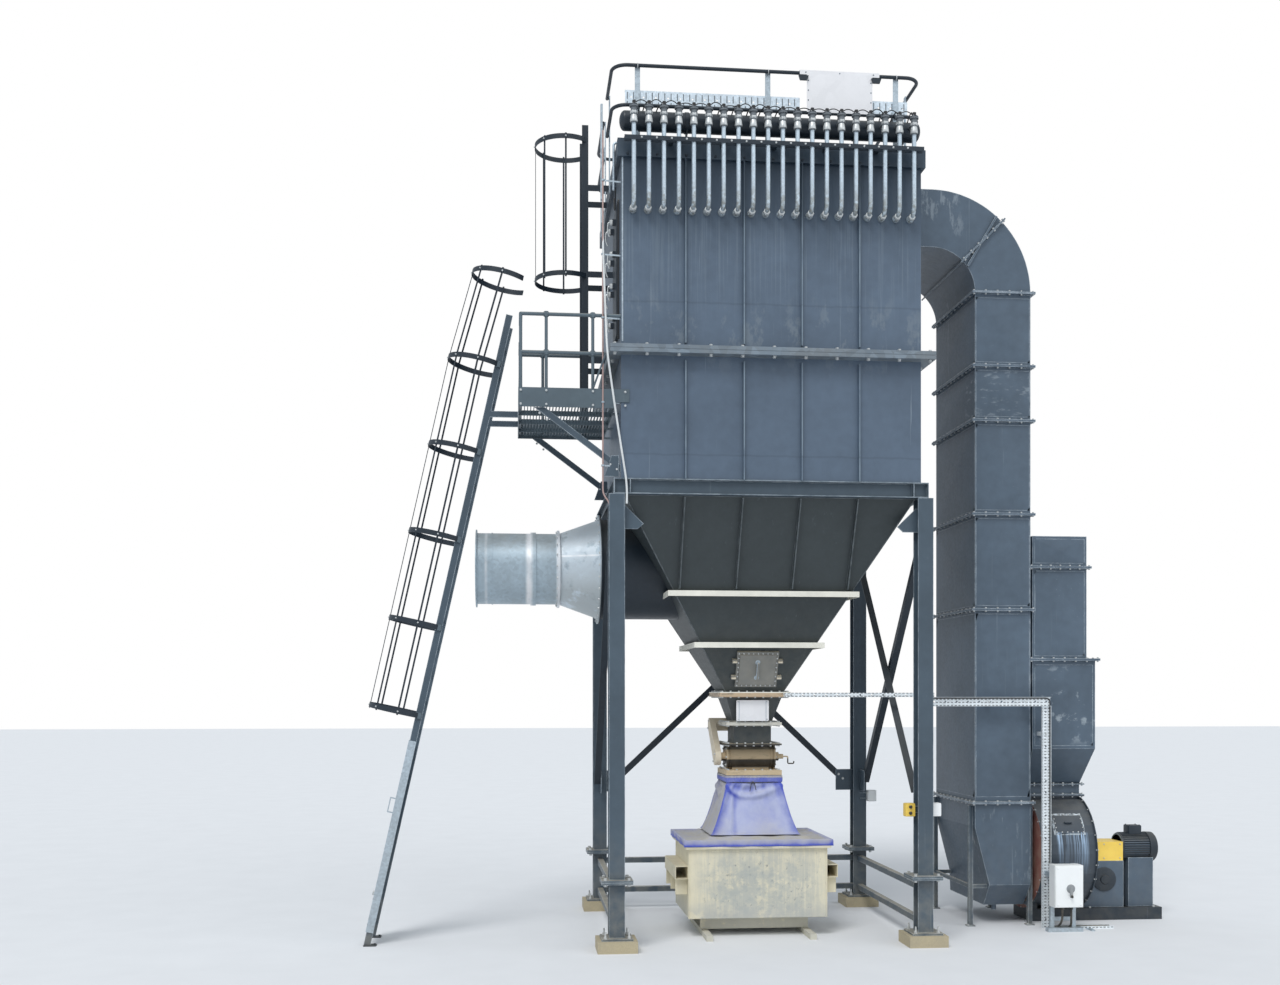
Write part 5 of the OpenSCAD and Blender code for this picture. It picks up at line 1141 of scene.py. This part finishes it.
# ---------------------------------------------------------------- hopper
HOPPER_TOP, HOPPER_OUT, HALF_TOP, HALF_OUT = 4.337, 2.45, 1.19, 0.30
HATCH_Z, HANDLE_HALF = 2.70, 0.085
lean = (HALF_TOP - HALF_OUT) / (HOPPER_TOP - HOPPER_OUT)
slope_out = unit([0, -1, -lean])
slope_up = unit([0, -lean, 1])


def on_hatch(x, up, out):
    """A place on the hopper's front slope: across, up the slope and out of it, from the
    hatch's middle."""
    middle = np.array([x, -(HALF_OUT + lean * (HATCH_Z - HOPPER_OUT)), HATCH_Z])
    return middle + slope_up * up + slope_out * out


piece("hatch_bolts", "bolt",
      copies(bolt(M8), [on_hatch(x, up, 0.030)
                        for x, up, _ in around_frame(0.197, 0.177, 0, 0.048)], slope_out))
wing = slab(rounded(0.05, 0.014, 0.006), [(0, 1), (0.012, 0.9)])
piece("hatch_wing_nuts", "dusty",
      copies(wing, [on_hatch(s * 0.235, up, 0.040) for s in BOTH for up in (-0.09, 0.09)],
             slope_out))
# Bar handle on two feet in the middle of the hatch
piece("hatch_handle", "zinc",
      pipe([on_hatch(0, up, out) for up, out in ((-HANDLE_HALF, 0.034), (-HANDLE_HALF, 0.069),
                                                 (HANDLE_HALF, 0.069), (HANDLE_HALF, 0.034))],
           0.013, 0.015, 10),
      copies(turned([(0.030, 0), (0.030, 0.006), (0.018, 0.012)], 16),
             [on_hatch(0, s * HANDLE_HALF, 0.034) for s in (1, -1)], slope_out))
# Plain plate on two straps under the hopper
PLATE_X, PLATE_Z = -0.02, 2.268
piece("bare_sign_plate", "aluminium",
      copies(plate(0.34, 0.215, 0.003, 0.012), [PLATE_X, -0.306, PLATE_Z], FRONT))
piece("sign_screws", "bolt",
      copies(rivet, [[PLATE_X + s * 0.15, -0.309, PLATE_Z + t * 0.09] for s in BOTH for t in BOTH],
             FRONT))
piece("sign_brackets", "zinc", *[
    swept([[PLATE_X + s * 0.14, -0.304, 2.37], [PLATE_X + s * 0.14, -0.304, 2.145]],
          rounded(0.02, 0.004, 0.001, 2)) for s in BOTH])
# Weld beads down the hopper's four corners
piece("hopper_corner_welds", "hopper", *[
    swept([[s * 0.30, t * 0.30, 2.46], [s * 1.415, t * 1.19, 4.33]], circle(0.006, 6))
    for s in BOTH for t in BOTH])

# ---------------------------------------------------------------- rotary valve
ROTOR_Z = 1.78
chain_face = sides_of("valve_drive")[0][0]
piece("valve_end_bolts", "bolt", *[
    copies(bolt(M12), ring_points((s * 0.258, 0, ROTOR_Z), (s, 0, 0), 0.115, 8), (s, 0, 0))
    for s in BOTH])
piece("chain_guard_bolts", "bolt",
      copies(bolt(M12), [[chain_face, y, ROTOR_Z + z] for y, z in
                         ((-0.05, 0.03), (0.05, -0.05), (0.37, 0.37), (0.42, 0.29))], LEFT))
piece("valve_sensor_rod", "valve",
      pipe([[0.30, -0.02, ROTOR_Z], [0.41, -0.02, ROTOR_Z], [0.41, -0.02, 1.705],
            [0.475, -0.02, 1.705], [0.475, -0.02, 1.73]], 0.007, 0.015, 8),
      copies(slab(rounded(0.06, 0.05, 0.008), [(0, 1), (0.05, 0.96)]), [0.31, 0, ROTOR_Z], RIGHT))
rib = turned([(0.124, -0.006), (0.136, -0.005), (0.136, 0.005), (0.124, 0.006)], 40)
piece("valve_casing_ribs", "valve", *[copies(rib, [x, 0, ROTOR_Z], RIGHT)
                                      for x in (-0.215, 0.215)])

# ---------------------------------------------------------------- cloth sleeve and cover
sleeve_low, sleeve_high = sides_of("sleeve")
cover_low, cover_high = sides_of("bin_cover")


def set_flat_map(thing, flat, **values):
    """Gives a cloth its flat coordinates in metres as a map, and its values at each point."""
    layer = thing.data.uv_layers.new(name="UVMap")
    corner_points = np.empty(len(thing.data.loops), int)
    thing.data.loops.foreach_get("vertex_index", corner_points)
    layer.data.foreach_set("uv", flat[corner_points].astype(np.float32).ravel())
    for key, value in values.items():
        attribute = thing.data.attributes.new(key, "FLOAT", "POINT")
        attribute.data.foreach_set("value", value.astype(np.float32))


def bent_rectangle(angle, half_x, half_y, power):
    """Radius of a rectangle with soft corners: (|cos a / x|^p + |sin a / y|^p)^(-1/p)."""
    return (np.abs(np.cos(angle) / half_x) ** power
            + np.abs(np.sin(angle) / half_y) ** power) ** (-1 / power)


def draped_sleeve(rows=96, along=100):
    """Four-sided tent from the valve's flange to the bin. Each side k is a grid: u runs from
    -1 to 1 between two taut ridges, t from the neck down to the hem. A point is the line
    between the two ridges plus relief outwards: a sag (1 - u^2) sin(pi t), pleats that fade
    below the neck, swags that hang like chains, 1 - u^2, and folds beside the ridges."""
    t = np.linspace(0, 1, rows)[:, None, None]
    u = np.linspace(-1, 1, along, endpoint=False)[None, None, :]
    side = np.arange(4)[None, :, None]
    top_z, bottom_z = sleeve_high[2] - 0.004, sleeve_low[2] + 0.006
    neck_t = 0.125
    drop = np.clip((t - neck_t) / (1 - neck_t), 0, 1)
    widen = 0.70 * drop + 0.30 * drop ** 3
    # Ridges in order round the tent, front left first
    corner_top = np.array([[-1, -1], [1, -1], [1, 1], [-1, 1]]) * 0.286
    corner_low = np.array([[sleeve_low[0], sleeve_low[1]], [sleeve_high[0] - 0.03, sleeve_low[1]],
                           [sleeve_high[0] - 0.03, sleeve_high[1]],
                           [sleeve_low[0], sleeve_high[1]]]) \
        - np.array([[-1, -1], [1, -1], [1, 1], [-1, 1]]) * 0.012
    ridge = corner_top[None] + (corner_low - corner_top)[None] * widen[:, :, 0, None]
    following = np.roll(ridge, -1, axis=1)
    share = ((u + 1) / 2)[..., None]
    flat_place = ridge[:, :, None] * (1 - share) + following[:, :, None] * share
    outward = np.array([[0, -1], [1, 0], [0, 1], [-1, 0]])[None, :, None]
    inside = 1 - u ** 2
    sag = -0.050 * inside * np.sin(np.pi * drop) * (0.6 + 0.4 * np.sin(1.3 * side + 1))
    fan_out = u * (1 - 0.45 * drop) + 0.04 * np.sin(7 * drop + side)
    pleats = (0.016 * np.sin(14 * fan_out + 2.0 * side) + 0.008 * np.sin(31 * fan_out + side)) \
        * np.exp(-drop / 0.22)
    swags = 0.015 * np.sin(21 * (drop - 0.20 * inside + 0.03 * np.sin(3 * u + side))) \
        * inside * np.exp(-((drop - 0.16) / 0.20) ** 2)
    beside = 0.018 * np.sin(19 * (1 - np.abs(u)) + 3.0 * drop) * np.exp(-(1 - np.abs(u)) / 0.20) \
        * drop ** 0.5 * inside ** 0.3
    slow = 0.012 * np.sin(4.2 * u + 5 * drop + 1.7 * side) * inside * np.sin(np.pi * drop)
    hanging = drop - 0.02 - 0.20 * inside * (1 - 0.45 * u + 0.2 * np.sin(2.2 * side + 1))
    fold = 0.009 * np.exp(-(hanging / 0.05) ** 2) - 0.006 * np.exp(-((hanging - 0.09) / 0.05) ** 2)
    fold = fold * (0.35 + 0.65 * np.abs(np.sin(2.3 * u + 0.9 + side)))
    long_at = -0.80 + 0.22 * drop + 0.10 * np.sin(1.9 * side)
    long_fold = 0.015 * np.exp(-((u - long_at) / 0.05) ** 2) * np.clip(drop * 3, 0, 1)
    relief = (0.8 * pleats + swags + beside + slow + fold + long_fold) * np.clip(drop * 12, 0, 1)
    # The turned-over band round the neck and the cord that draws it in
    band = np.where(t < neck_t, 0.007 + 0.0035 * np.sin(44 * u + side) * np.sin(np.pi * t / neck_t),
                    0.0)
    cord = -0.006 * np.exp(-((t - neck_t) / 0.018) ** 2)
    hem = 0.010 * np.clip((drop - 0.94) / 0.06, 0, 1) ** 2
    out = sag + relief + band + cord + hem
    place_xy = flat_place + out[..., None] * outward
    z = top_z + (bottom_z - top_z) * (t + 0 * u + 0 * side)
    points = np.concatenate([place_xy, z[..., None]], -1)
    around = 4 * along
    flat = np.stack([((side * 2 + u + 1) * 0.35 + 0 * t), t * 0.62 + 0 * u + 0 * side], -1)
    ragged = 0.5 + 0.5 * np.sin(5 * drop + 2.1 * side) * np.sin(13 * drop + side)
    near_ridge = np.exp(-(1 - np.abs(u)) / (0.05 + 0.08 * ragged))
    top_blue = np.exp(-np.clip(drop - 0.02, 0, 1) / 0.10) * (0.35 + 0.65 * np.abs(u) ** 1.5)
    below_fold = np.exp(-((hanging - 0.05) / 0.045) ** 2) * np.clip(-u * 0.9 + 0.25, 0.05, 1)
    beside_long = np.exp(-((u - long_at - 0.11) / 0.07) ** 2) * np.clip(drop * 2, 0, 1)
    left_ridge = np.exp(-(1 + u) / 0.16) * (1 - 0.4 * drop)
    # Share of the faded colour: bluer near the ridges, by each face's left ridge and at the top; 20
    # * relief is painted highlight on the folds' tops and painted shade in the creases, and
    # below_fold and beside_long are painted shade under and beside the folds
    crest = 1.05 - 0.80 * near_ridge - 0.55 * left_ridge - 0.9 * top_blue - 0.8 * below_fold \
        - 0.45 * beside_long + 20 * relief
    crest = np.where(t < neck_t, 0.15, crest)
    dusty = np.array([0.06, 0.35, 0.6, 0.80])[None, :, None] + 0.55 * drop ** 3 \
        * (0.5 + 0.5 * np.sin(5 * u + 1.3 * side))
    dusty = np.clip(dusty, 0, 0.85) * (1 - 0.6 * near_ridge) * (1 - 0.5 * left_ridge)
    dusty = np.where(t < 0.035, 0.9, np.where(t < neck_t, 0.12, dusty)) + 0 * crest
    return points.reshape(-1, 3), grid_faces(rows, around), flat.reshape(-1, 2), \
        np.clip(crest, 0, 1).ravel(), dusty.ravel()


def cloth_piece(name, points, faces, flat, crest, dusty):
    """A cloth's own piece with its flat map, its values of fading with painted fold shading and of
    dust, and its thickness.
    """
    thing = piece(name, "cloth", (points, [faces]), slot="blue_fabric", smooth=180)
    set_flat_map(thing, flat, crest=crest, dusty=dusty)
    shell = thing.modifiers.new("thickness", "SOLIDIFY")
    shell.thickness = 0.003
    shell.offset = -1
    return thing


points, faces, *values = draped_sleeve()
sleeve = cloth_piece("draped_sleeve", points, faces, *values)
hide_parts("sleeve")


def draped_cover(n_x=190, n_y=150):
    """Cloth over the bin's rim, on a grid over the whole cut sheet. Inside the rim it sags
    between the rim and the sleeve's foot, with a few wrinkles; past the rim it turns down
    and hangs, waving in and out along the edge."""
    half_x = (cover_high[0] - cover_low[0]) / 2 - 0.004
    half_y = (cover_high[1] - cover_low[1]) / 2 - 0.004
    skirt = cover_high[2] - cover_low[2] - 0.004
    reach_x, reach_y = half_x + skirt, half_y + skirt
    x, y = np.meshgrid(np.linspace(-reach_x, reach_x, n_x), np.linspace(-reach_y, reach_y, n_y),
                       indexing="ij")
    over_x, over_y = np.abs(x) - half_x, np.abs(y) - half_y
    over = np.maximum(over_x, over_y)
    drop = np.clip(over, 0, skirt)
    soft = 0.010 * np.exp(-(np.minimum(over, 0) / 0.012) ** 2)
    px = np.clip(x, -half_x, half_x)
    py = np.clip(y, -half_y, half_y)
    wrinkle = (np.sin(7 * x + 3 * np.sin(4 * y)) * np.sin(6 * y + 2 * np.sin(3 * x)) * 0.006
               + 0.003 * np.sin(23 * x + 9 * y))
    inside = np.clip(-over / 0.1, 0, 1)
    foot_x = (sleeve_high[0] - sleeve_low[0]) / 2 + 0.02
    foot_y = (sleeve_high[1] - sleeve_low[1]) / 2 + 0.02
    sleeve_mid, cover_mid = (sleeve_low + sleeve_high) / 2, (cover_low + cover_high) / 2
    beyond = np.maximum(np.abs(x + cover_mid[0] - sleeve_mid[0]) - foot_x,
                        np.abs(y + cover_mid[1] - sleeve_mid[1]) - foot_y)
    hollow = np.clip(-over / 0.055, 0, 1) ** 0.7 * np.clip(beyond / 0.05, 0, 1)
    rolled = 0.008 * np.exp(-((over + 0.020) / 0.014) ** 2)
    z = -drop - soft - inside * wrinkle - 0.034 * hollow - 0.002 + rolled
    hang = np.clip(drop / skirt, 0, 1)
    edge = np.where(over_x > over_y, y, x)
    pull = 0.010 * hang * (0.5 - 0.5 * np.sin(17 * edge + 1.2 * np.sin(5 * edge)))
    px = px - np.sign(x) * pull * (over_x > over_y)
    py = py - np.sign(y) * pull * (over_x <= over_y)
    points = np.stack([cover_mid[0] + px, cover_mid[1] + py, cover_high[2] - 0.003 + z], -1)
    ends = np.clip((np.abs(x) - half_x + 0.05) / 0.05, 0, 1)
    smear = 0.5 + 0.5 * np.sin(9 * edge + 2 * np.sin(4 * edge + 1)) * np.sin(31 * edge)
    # Share of the faded colour: 30 * wrinkle is painted highlight on the wrinkles' tops and painted
    # shade in their hollows; it falls off down the hanging edge and in smears
    crest = np.clip(0.95 + 30 * wrinkle * inside - 1.3 * hang ** 2.2 - 0.55 * ends * smear
                    - 0.35 * smear * (hang > 0), 0, 1)
    dusty = np.clip(0.95 + 8 * wrinkle * inside - 0.35 * (hang > 0) - 0.75 * hang ** 2
                    - 0.45 * ends * smear - 0.6 * np.exp(-((over + 0.020) / 0.015) ** 2), 0, 1)
    return points.reshape(-1, 3), grid_faces(n_x, n_y, False)[:, ::-1], \
        np.stack([x, y], -1).reshape(-1, 2), crest.ravel(), dusty.ravel()


cover = cloth_piece("draped_cover", *draped_cover())
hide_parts("bin_cover")

# Cord drawn round the neck of the sleeve, its two ends knotted and hanging at the front
neck_z = sleeve_high[2] - 0.075
turn = np.linspace(0, 2 * np.pi, 121)[:-1]
cord_radius = bent_rectangle(turn, 0.290, 0.290, 14)
loop = np.column_stack([cord_radius * np.cos(turn), cord_radius * np.sin(turn),
                        neck_z + 0.003 * np.sin(5 * turn)])
ahead = unit(np.roll(loop, -1, 0) - np.roll(loop, 1, 0))
beside = unit(np.cross([0, 0, 1.0], ahead))
section = circle(0.005, 8)
tube = loop[:, None] + section[None, :, :1] * beside[:, None] \
    + section[None, :, 1:] * np.array([0, 0, 1.0])
ring_faces = grid_faces(121, 8)
ring_faces = np.where(ring_faces >= 960, ring_faces - 960, ring_faces)
piece("sleeve_cord", "cable", (tube.reshape(-1, 3), [ring_faces[:, ::-1]]),
      *[swept(sagging([x0, -0.300, neck_z], [x1, y1, neck_z - drop], 0.004), circle(0.004, 8))
        for x0, x1, y1, drop in ((-0.03, -0.05, -0.318, 0.09), (0.0, 0.015, -0.316, 0.075))],
      copies(turned([(0.001, -0.012), (0.011, -0.006), (0.011, 0.006), (0.001, 0.012)], 12),
             [-0.015, -0.301, neck_z], RIGHT))

# ---------------------------------------------------------------- bin
bin_low, bin_high = sides_of("dust_bin")
bin_mid = (bin_low + bin_high) / 2
body_x, body_y = 0.70, 0.51


def dented_panel(width, height, seed):
    """Panel with shallow dents: its front is a sum of a few waves with fixed seeds, fading to
    the edges."""
    pick = np.random.default_rng(seed)

    def dents(u, v):
        waves = sum(pick.uniform(0.4, 1) * np.sin(pick.uniform(2, 7) * u + pick.uniform(0, 6))
                    * np.sin(pick.uniform(2, 6) * v + pick.uniform(0, 6)) for _ in range(5))
        z = 0.006 * (1 - u ** 6) * (1 - v ** 6) * waves / 3
        return z - z.min()

    return backed_sheet(dents, 61, width, height, 0.002)


panel_z, panel_h = (bin_low[2] + bin_high[2] - 0.05) / 2, bin_high[2] - bin_low[2] - 0.06
piece("bin_panels", "bin", *[
    copies(dented_panel(2 * body_x - 0.02, panel_h, seed),
           [bin_mid[0], bin_mid[1] + s * body_y, panel_z], (0, s, 0))
    for s, seed in ((-1, 4), (1, 5))])
piece("bin_corner_welds", "bin", *[
    swept([[bin_mid[0] + s * body_x, bin_mid[1] + t * body_y, z]
           for z in (bin_low[2], bin_high[2] - 0.05)], rounded(0.014, 0.014, 0.005))
    for s in BOTH for t in BOTH])
piece("pocket_gussets", "bin", *[
    copies(plate(0.12, 0.16, 0.006), [bin_mid[0] + s * (body_x + 0.065), y, 0.50], FRONT)
    for s in BOTH for y in (-0.55, -0.16, 0.22)])

# ---------------------------------------------------------------- fan
fan_y, fan_z = 0.16, 0.76


def scroll_edge(degrees, grow):
    """Points (y, z) on the scroll: the radius grows evenly with the angle from the top, 80 mm
    over three quarters of a turn, round the front and the bottom to the rear."""
    angle = np.radians(degrees)
    radius = 0.57 + 0.08 * np.asarray(degrees) / 270 + grow
    return np.stack([fan_y - radius * np.sin(angle), fan_z + radius * np.cos(angle)], -1)


piece("cone_bolts", "bolt",
      copies(bolt(0.011), ring_points((2.942, fan_y, fan_z), RIGHT, 0.3625, 20), RIGHT))
rim = np.column_stack([np.zeros(17), scroll_edge(np.linspace(26, 266, 17), 0.012)])
piece("scroll_rim_bolts", "bolt",
      *[copies(bolt(M8, 0.008), rim + [x, 0, 0], RIGHT) for x in (3.028, 3.62)])
# Primer-red side plate towards the plenum, inside the scroll's outline
outline = np.concatenate([scroll_edge(np.arange(20, 271, 6), 0.02),
                          [[0.83, 1.33], [-0.02, 1.33]]])
count = len(outline)
edge = np.arange(count)
beyond = np.roll(edge, -1)
piece("scroll_side_plate", "oxide",
      (np.concatenate([np.column_stack([np.full(count, x), outline]) for x in (3.0195, 3.0175)]),
       [np.column_stack([edge, beyond, beyond + count, edge + count]),
        np.array([edge[::-1], edge + count])]))
# Bolts round the cover in the scroll's curved face: angles down it, places across it
cover_angles, cover_xs = (48.3, 67.7), (3.198, 3.488)
across_x = np.linspace(*cover_xs, 6)
down = np.linspace(*cover_angles, 5)
edge_angle = np.concatenate([np.repeat(cover_angles, 6), np.tile(down[1:-1], 2)])
edge_x = np.concatenate([np.tile(across_x, 2), np.repeat(cover_xs, 3)])
edge_yz = scroll_edge(edge_angle, 0.012)
edge_out = np.stack([0 * edge_angle, -np.sin(np.radians(edge_angle)),
                     np.cos(np.radians(edge_angle))], -1)
piece("scroll_cover_bolts", "bolt",
      copies(bolt(0.012), np.column_stack([edge_x, edge_yz]), edge_out))


def finned_motor(length, radius, fins=36, around=288):
    """Motor shell: along it s, around it a; radius grows by a fin's height where the
    fins' square-edged wave cos(fins a) is high, except on the end bells."""
    s = np.array([0.0, 0.01, 0.03, 0.05, 0.052, 0.78, 0.782, 0.80, 0.97, 1.0])[:, None]
    shell = np.array([0.86, 0.97, 1.0, 1.0, 0.90, 0.90, 1.05, 1.05, 1.03, 0.96])[:, None]
    finned = np.array([0, 0, 0, 0, 1, 1, 0, 0, 0, 0])[:, None]
    a = np.linspace(0, 2 * np.pi, around, endpoint=False)[None, :]
    wave = np.clip(2.5 * np.cos(fins * a) + 0.5, 0, 1)
    r = radius * (shell + 0.13 * finned * wave)
    return stacked(np.stack([r * np.cos(a), r * np.sin(a), s * length + 0 * a], -1))


piece("finned_motor", "dark",
      copies(finned_motor(0.398, 0.158), [4.12, fan_y, fan_z], RIGHT))
piece("motor_terminal_box", "dark",
      copies(slab(rounded(0.15, 0.13, 0.012), [(0, 1), (0.085, 1), (0.095, 0.95)]),
             [4.30, fan_y, fan_z + 0.145], UP),
      copies(bolt(0.011), [[4.30 + s * 0.055, fan_y + t * 0.045, fan_z + 0.240]
                           for s in BOTH for t in BOTH], UP))
piece("pedestal_disc", "dark",
      copies(turned([(0.13, 0), (0.13, 0.012), (0.118, 0.018), (0.05, 0.018), (0.045, 0.03),
                     (0.001, 0.032)], 36), [3.90, 0.0, 0.43], FRONT))
piece("guard_screws", "bolt",
      copies(bolt(0.012), [[x, 0.0, z] for x in (3.72, 3.90, 4.08) for z in (0.66, 0.81)], FRONT))
piece("fan_feet_bolts", "bolt",
      copies(bolt(M16), [[x, y, 0.13] for x in (3.10, 3.58, 3.72, 4.44) for y in (-0.04, 0.36)],
             UP))

# ---------------------------------------------------------------- isolator
box_low, box_high = sides_of("isolator_box")
box_mid, box_size = (box_low + box_high) / 2, box_high - box_low
box_face = box_low[1]
lid = slab(rounded(box_size[0] - 0.01, box_size[2] - 0.01, 0.012),
           [(0, 1), (0.010, 1), (0.014, 0.985)])
piece("isolator_lid", "white", copies(lid, [box_mid[0], box_face, box_mid[2]], FRONT))
handle_place = box_low + box_size * [0.54, 0, 0.45]
dial = turned([(0.045, 0.0135), (0.045, 0.017), (0.040, 0.019), (0.031, 0.019)], 36)
piece("isolator_dial", "grey plastic", copies(dial, handle_place, FRONT))
screw_head = turned([(0.011, 0.012), (0.011, 0.016), (0.008, 0.018), (0.0005, 0.018)], 14)
piece("lid_screws", "white",
      copies(screw_head, [[box_low[0] + a, box_face, box_low[2] + b]
                          for a in (0.03, 0.27) for b in (0.03, 0.40)], FRONT))
grip = slab(rounded(0.020, 0.030, 0.008), [(0, 0.9), (0.006, 1), (0.018, 1), (0.022, 0.85)])
piece("handle_tip", "black plastic",
      copies(grip, handle_place + [0, -0.0385, -0.076], FRONT), body="handle",
      slot="grey_plastic")
gland = turned([(0.016, -0.03), (0.018, -0.028), (0.018, -0.008), (0.022, -0.006),
                (0.022, 0.0)], 14)
gland_x = (box_low[0] + 0.11, box_low[0] + 0.205)
piece("cable_glands", "black plastic",
      copies(gland, [[x, -0.70, box_low[2]] for x in gland_x], UP))
gland_z = box_low[2] - 0.03
piece("isolator_cables", "cable", *[
    pipe([[x, -0.70, gland_z], [x, -0.70, gland_z - 0.11], [x + s * 0.015, -0.66, 0.055],
          [x + s * 0.03, -0.56, 0.022], [x + 0.12, -0.52, 0.020],
          [3.72, -0.52 + 0.024 * s, 0.016]], 0.011, 0.05, 10)
    for x, s in zip(gland_x, BOTH)])

# ---------------------------------------------------------------- small boxes and trays
small_box = slab(rounded(0.10, 0.13, 0.01), [(0, 1), (0.065, 1), (0.075, 0.95)])
button = turned([(0.016, 0.075), (0.016, 0.088), (0.012, 0.092), (0.0005, 0.092)], 16)
yellow_place = np.array([1.37, -1.13, 1.31])
piece("push_button_box", "yellow", copies(small_box, yellow_place, FRONT))
piece("push_buttons", "black plastic",
      copies(button, [yellow_place + [0, 0, z] for z in (-0.03, 0.03)], FRONT))
piece("junction_boxes", "white",
      copies(small_box, [[1.63, -1.13, 1.31], [1.625, 1.120, 1.27]], FRONT))
piece("box_brackets", "zinc", *[
    swept([[left, y, z], [right, y, z]], rounded(0.004, 0.03, 0.001, 2))
    for left, right, y, heights in ((1.33, 1.67, -1.128, (1.28, 1.34)),
                                    (1.50, 1.68, 1.122, (1.24, 1.30))) for z in heights])

# Lugs with bolts where the trays are fixed
piece("tray_bolts", "bolt",
      copies(bolt(0.014), [[x, -0.473, z] for x, z in ((2.43, 2.357), (2.83, 2.357),
                                                       (3.045, 2.02), (3.045, 0.58))], FRONT),
      copies(bolt(0.014), [[x, -0.49, 2.429] for x in (0.31, 0.34, 1.80, 1.83)], FRONT))
piece("tray_cables", "cable",
      pipe([[1.80, -0.482, 2.396], [3.086, -0.482, 2.396], [3.086, -0.482, 0.045],
            [3.14, -0.50, 0.014], [3.72, -0.50, 0.014]], 0.006, 0.05, 8),
      pipe([[0.30, -0.470, 2.418], [1.84, -0.470, 2.418]], 0.007, 0.05, 8))
# Two cross feet under the tray along the ground
foot_bar = slab(rounded(0.041, 0.16, 0.006), [(0, 1), (0.012, 1)])
piece("tray_feet", "zinc",
      copies(foot_bar, [[x, -0.62, 0.0] for x in (3.20, 3.46)], UP),
      copies(bolt(M12), [[x, -0.67, 0.012] for x in (3.20, 3.46)], UP))
# Two bolts across each foot of the plenum's stand
piece("stand_feet_bolts", "bolt",
      copies(bolt(M12), [[x + 0.0325 * s, y + 0.0325 * s, 0.010] for x in (2.3075, 2.9525)
                         for y in (-0.2675, 0.8575) for s in BOTH], UP))

# ---------------------------------------------------------------- floor, light and camera
ground = bpy.data.meshes.new("ground")
GROUND_HALF = 80.0
ground.from_pydata([(x * GROUND_HALF, y * GROUND_HALF, 0) for x, y in
                    ((-1, -1), (1, -1), (1, 1), (-1, 1))], [], [(0, 1, 2, 3)])
floor = bpy.data.objects.new("ground", ground)
bpy.context.scene.collection.objects.link(floor)
pale = Finish("pale floor", "")
pale.give("Base Color", pale.mix(pale.noise(2.0, 5.0), (0.74, 0.75, 0.765, 1),
                                 (0.80, 0.81, 0.825, 1)))
pale.give("Roughness", 0.9)
ground.materials.append(pale.material)

world = bpy.data.worlds.new("overcast")
bpy.context.scene.world = world
world.use_nodes = True
world.node_tree.nodes.clear()
w = Graph(world.node_tree)
rays = w.add("ShaderNodeLightPath")
seen = w.math("MAXIMUM", rays.outputs["Is Camera Ray"], rays.outputs["Is Transmission Ray"])
sky = w.add("ShaderNodeBackground")
w.feed(sky.inputs["Color"], w.mix(seen, (0.86, 0.93, 1.0, 1), (1, 1, 1, 1)))
w.feed(sky.inputs["Strength"], w.ramp(seen, 0, 1, 0.62, 1.0))
w.feed(w.add("ShaderNodeOutputWorld").inputs["Surface"], sky.outputs[0])


def sun(name, strength, elevation, azimuth, spread):
    """Distant lamp whose light comes from a compass angle (from +X) and an elevation."""
    lamp = bpy.data.lights.new(name, "SUN")
    lamp.energy = strength
    lamp.angle = math.radians(spread)
    thing = bpy.data.objects.new(name, lamp)
    thing.rotation_euler = (math.radians(90 - elevation), 0, math.radians(azimuth + 90))
    bpy.context.scene.collection.objects.link(thing)


sun("high soft sun", 1.5, 52, -120, 25)
sun("right fill", 0.5, 30, -40, 60)

CAMERA_PLACE = (-2.467, -13.462, 2.4355)
CAMERA_YAW = 0.097
FOCAL_PIXELS, IMAGE_WIDTH, IMAGE_HEIGHT = 1292.0, 1280.0, 985.0
HORIZON_PIXEL = 694.3
SENSOR = 36.0
lens = bpy.data.cameras.new("photo view")
lens.sensor_width = SENSOR
lens.sensor_fit = "HORIZONTAL"
lens.lens = FOCAL_PIXELS * SENSOR / IMAGE_WIDTH
lens.shift_y = (HORIZON_PIXEL - IMAGE_HEIGHT / 2) / IMAGE_WIDTH
lens.clip_end = 400
camera = bpy.data.objects.new("photo view", lens)
camera.location = at(CAMERA_PLACE)
camera.rotation_euler = (math.radians(90), 0, -CAMERA_YAW)
bpy.context.scene.collection.objects.link(camera)
bpy.context.scene.camera = camera
bpy.context.scene.view_settings.view_transform = "Standard"
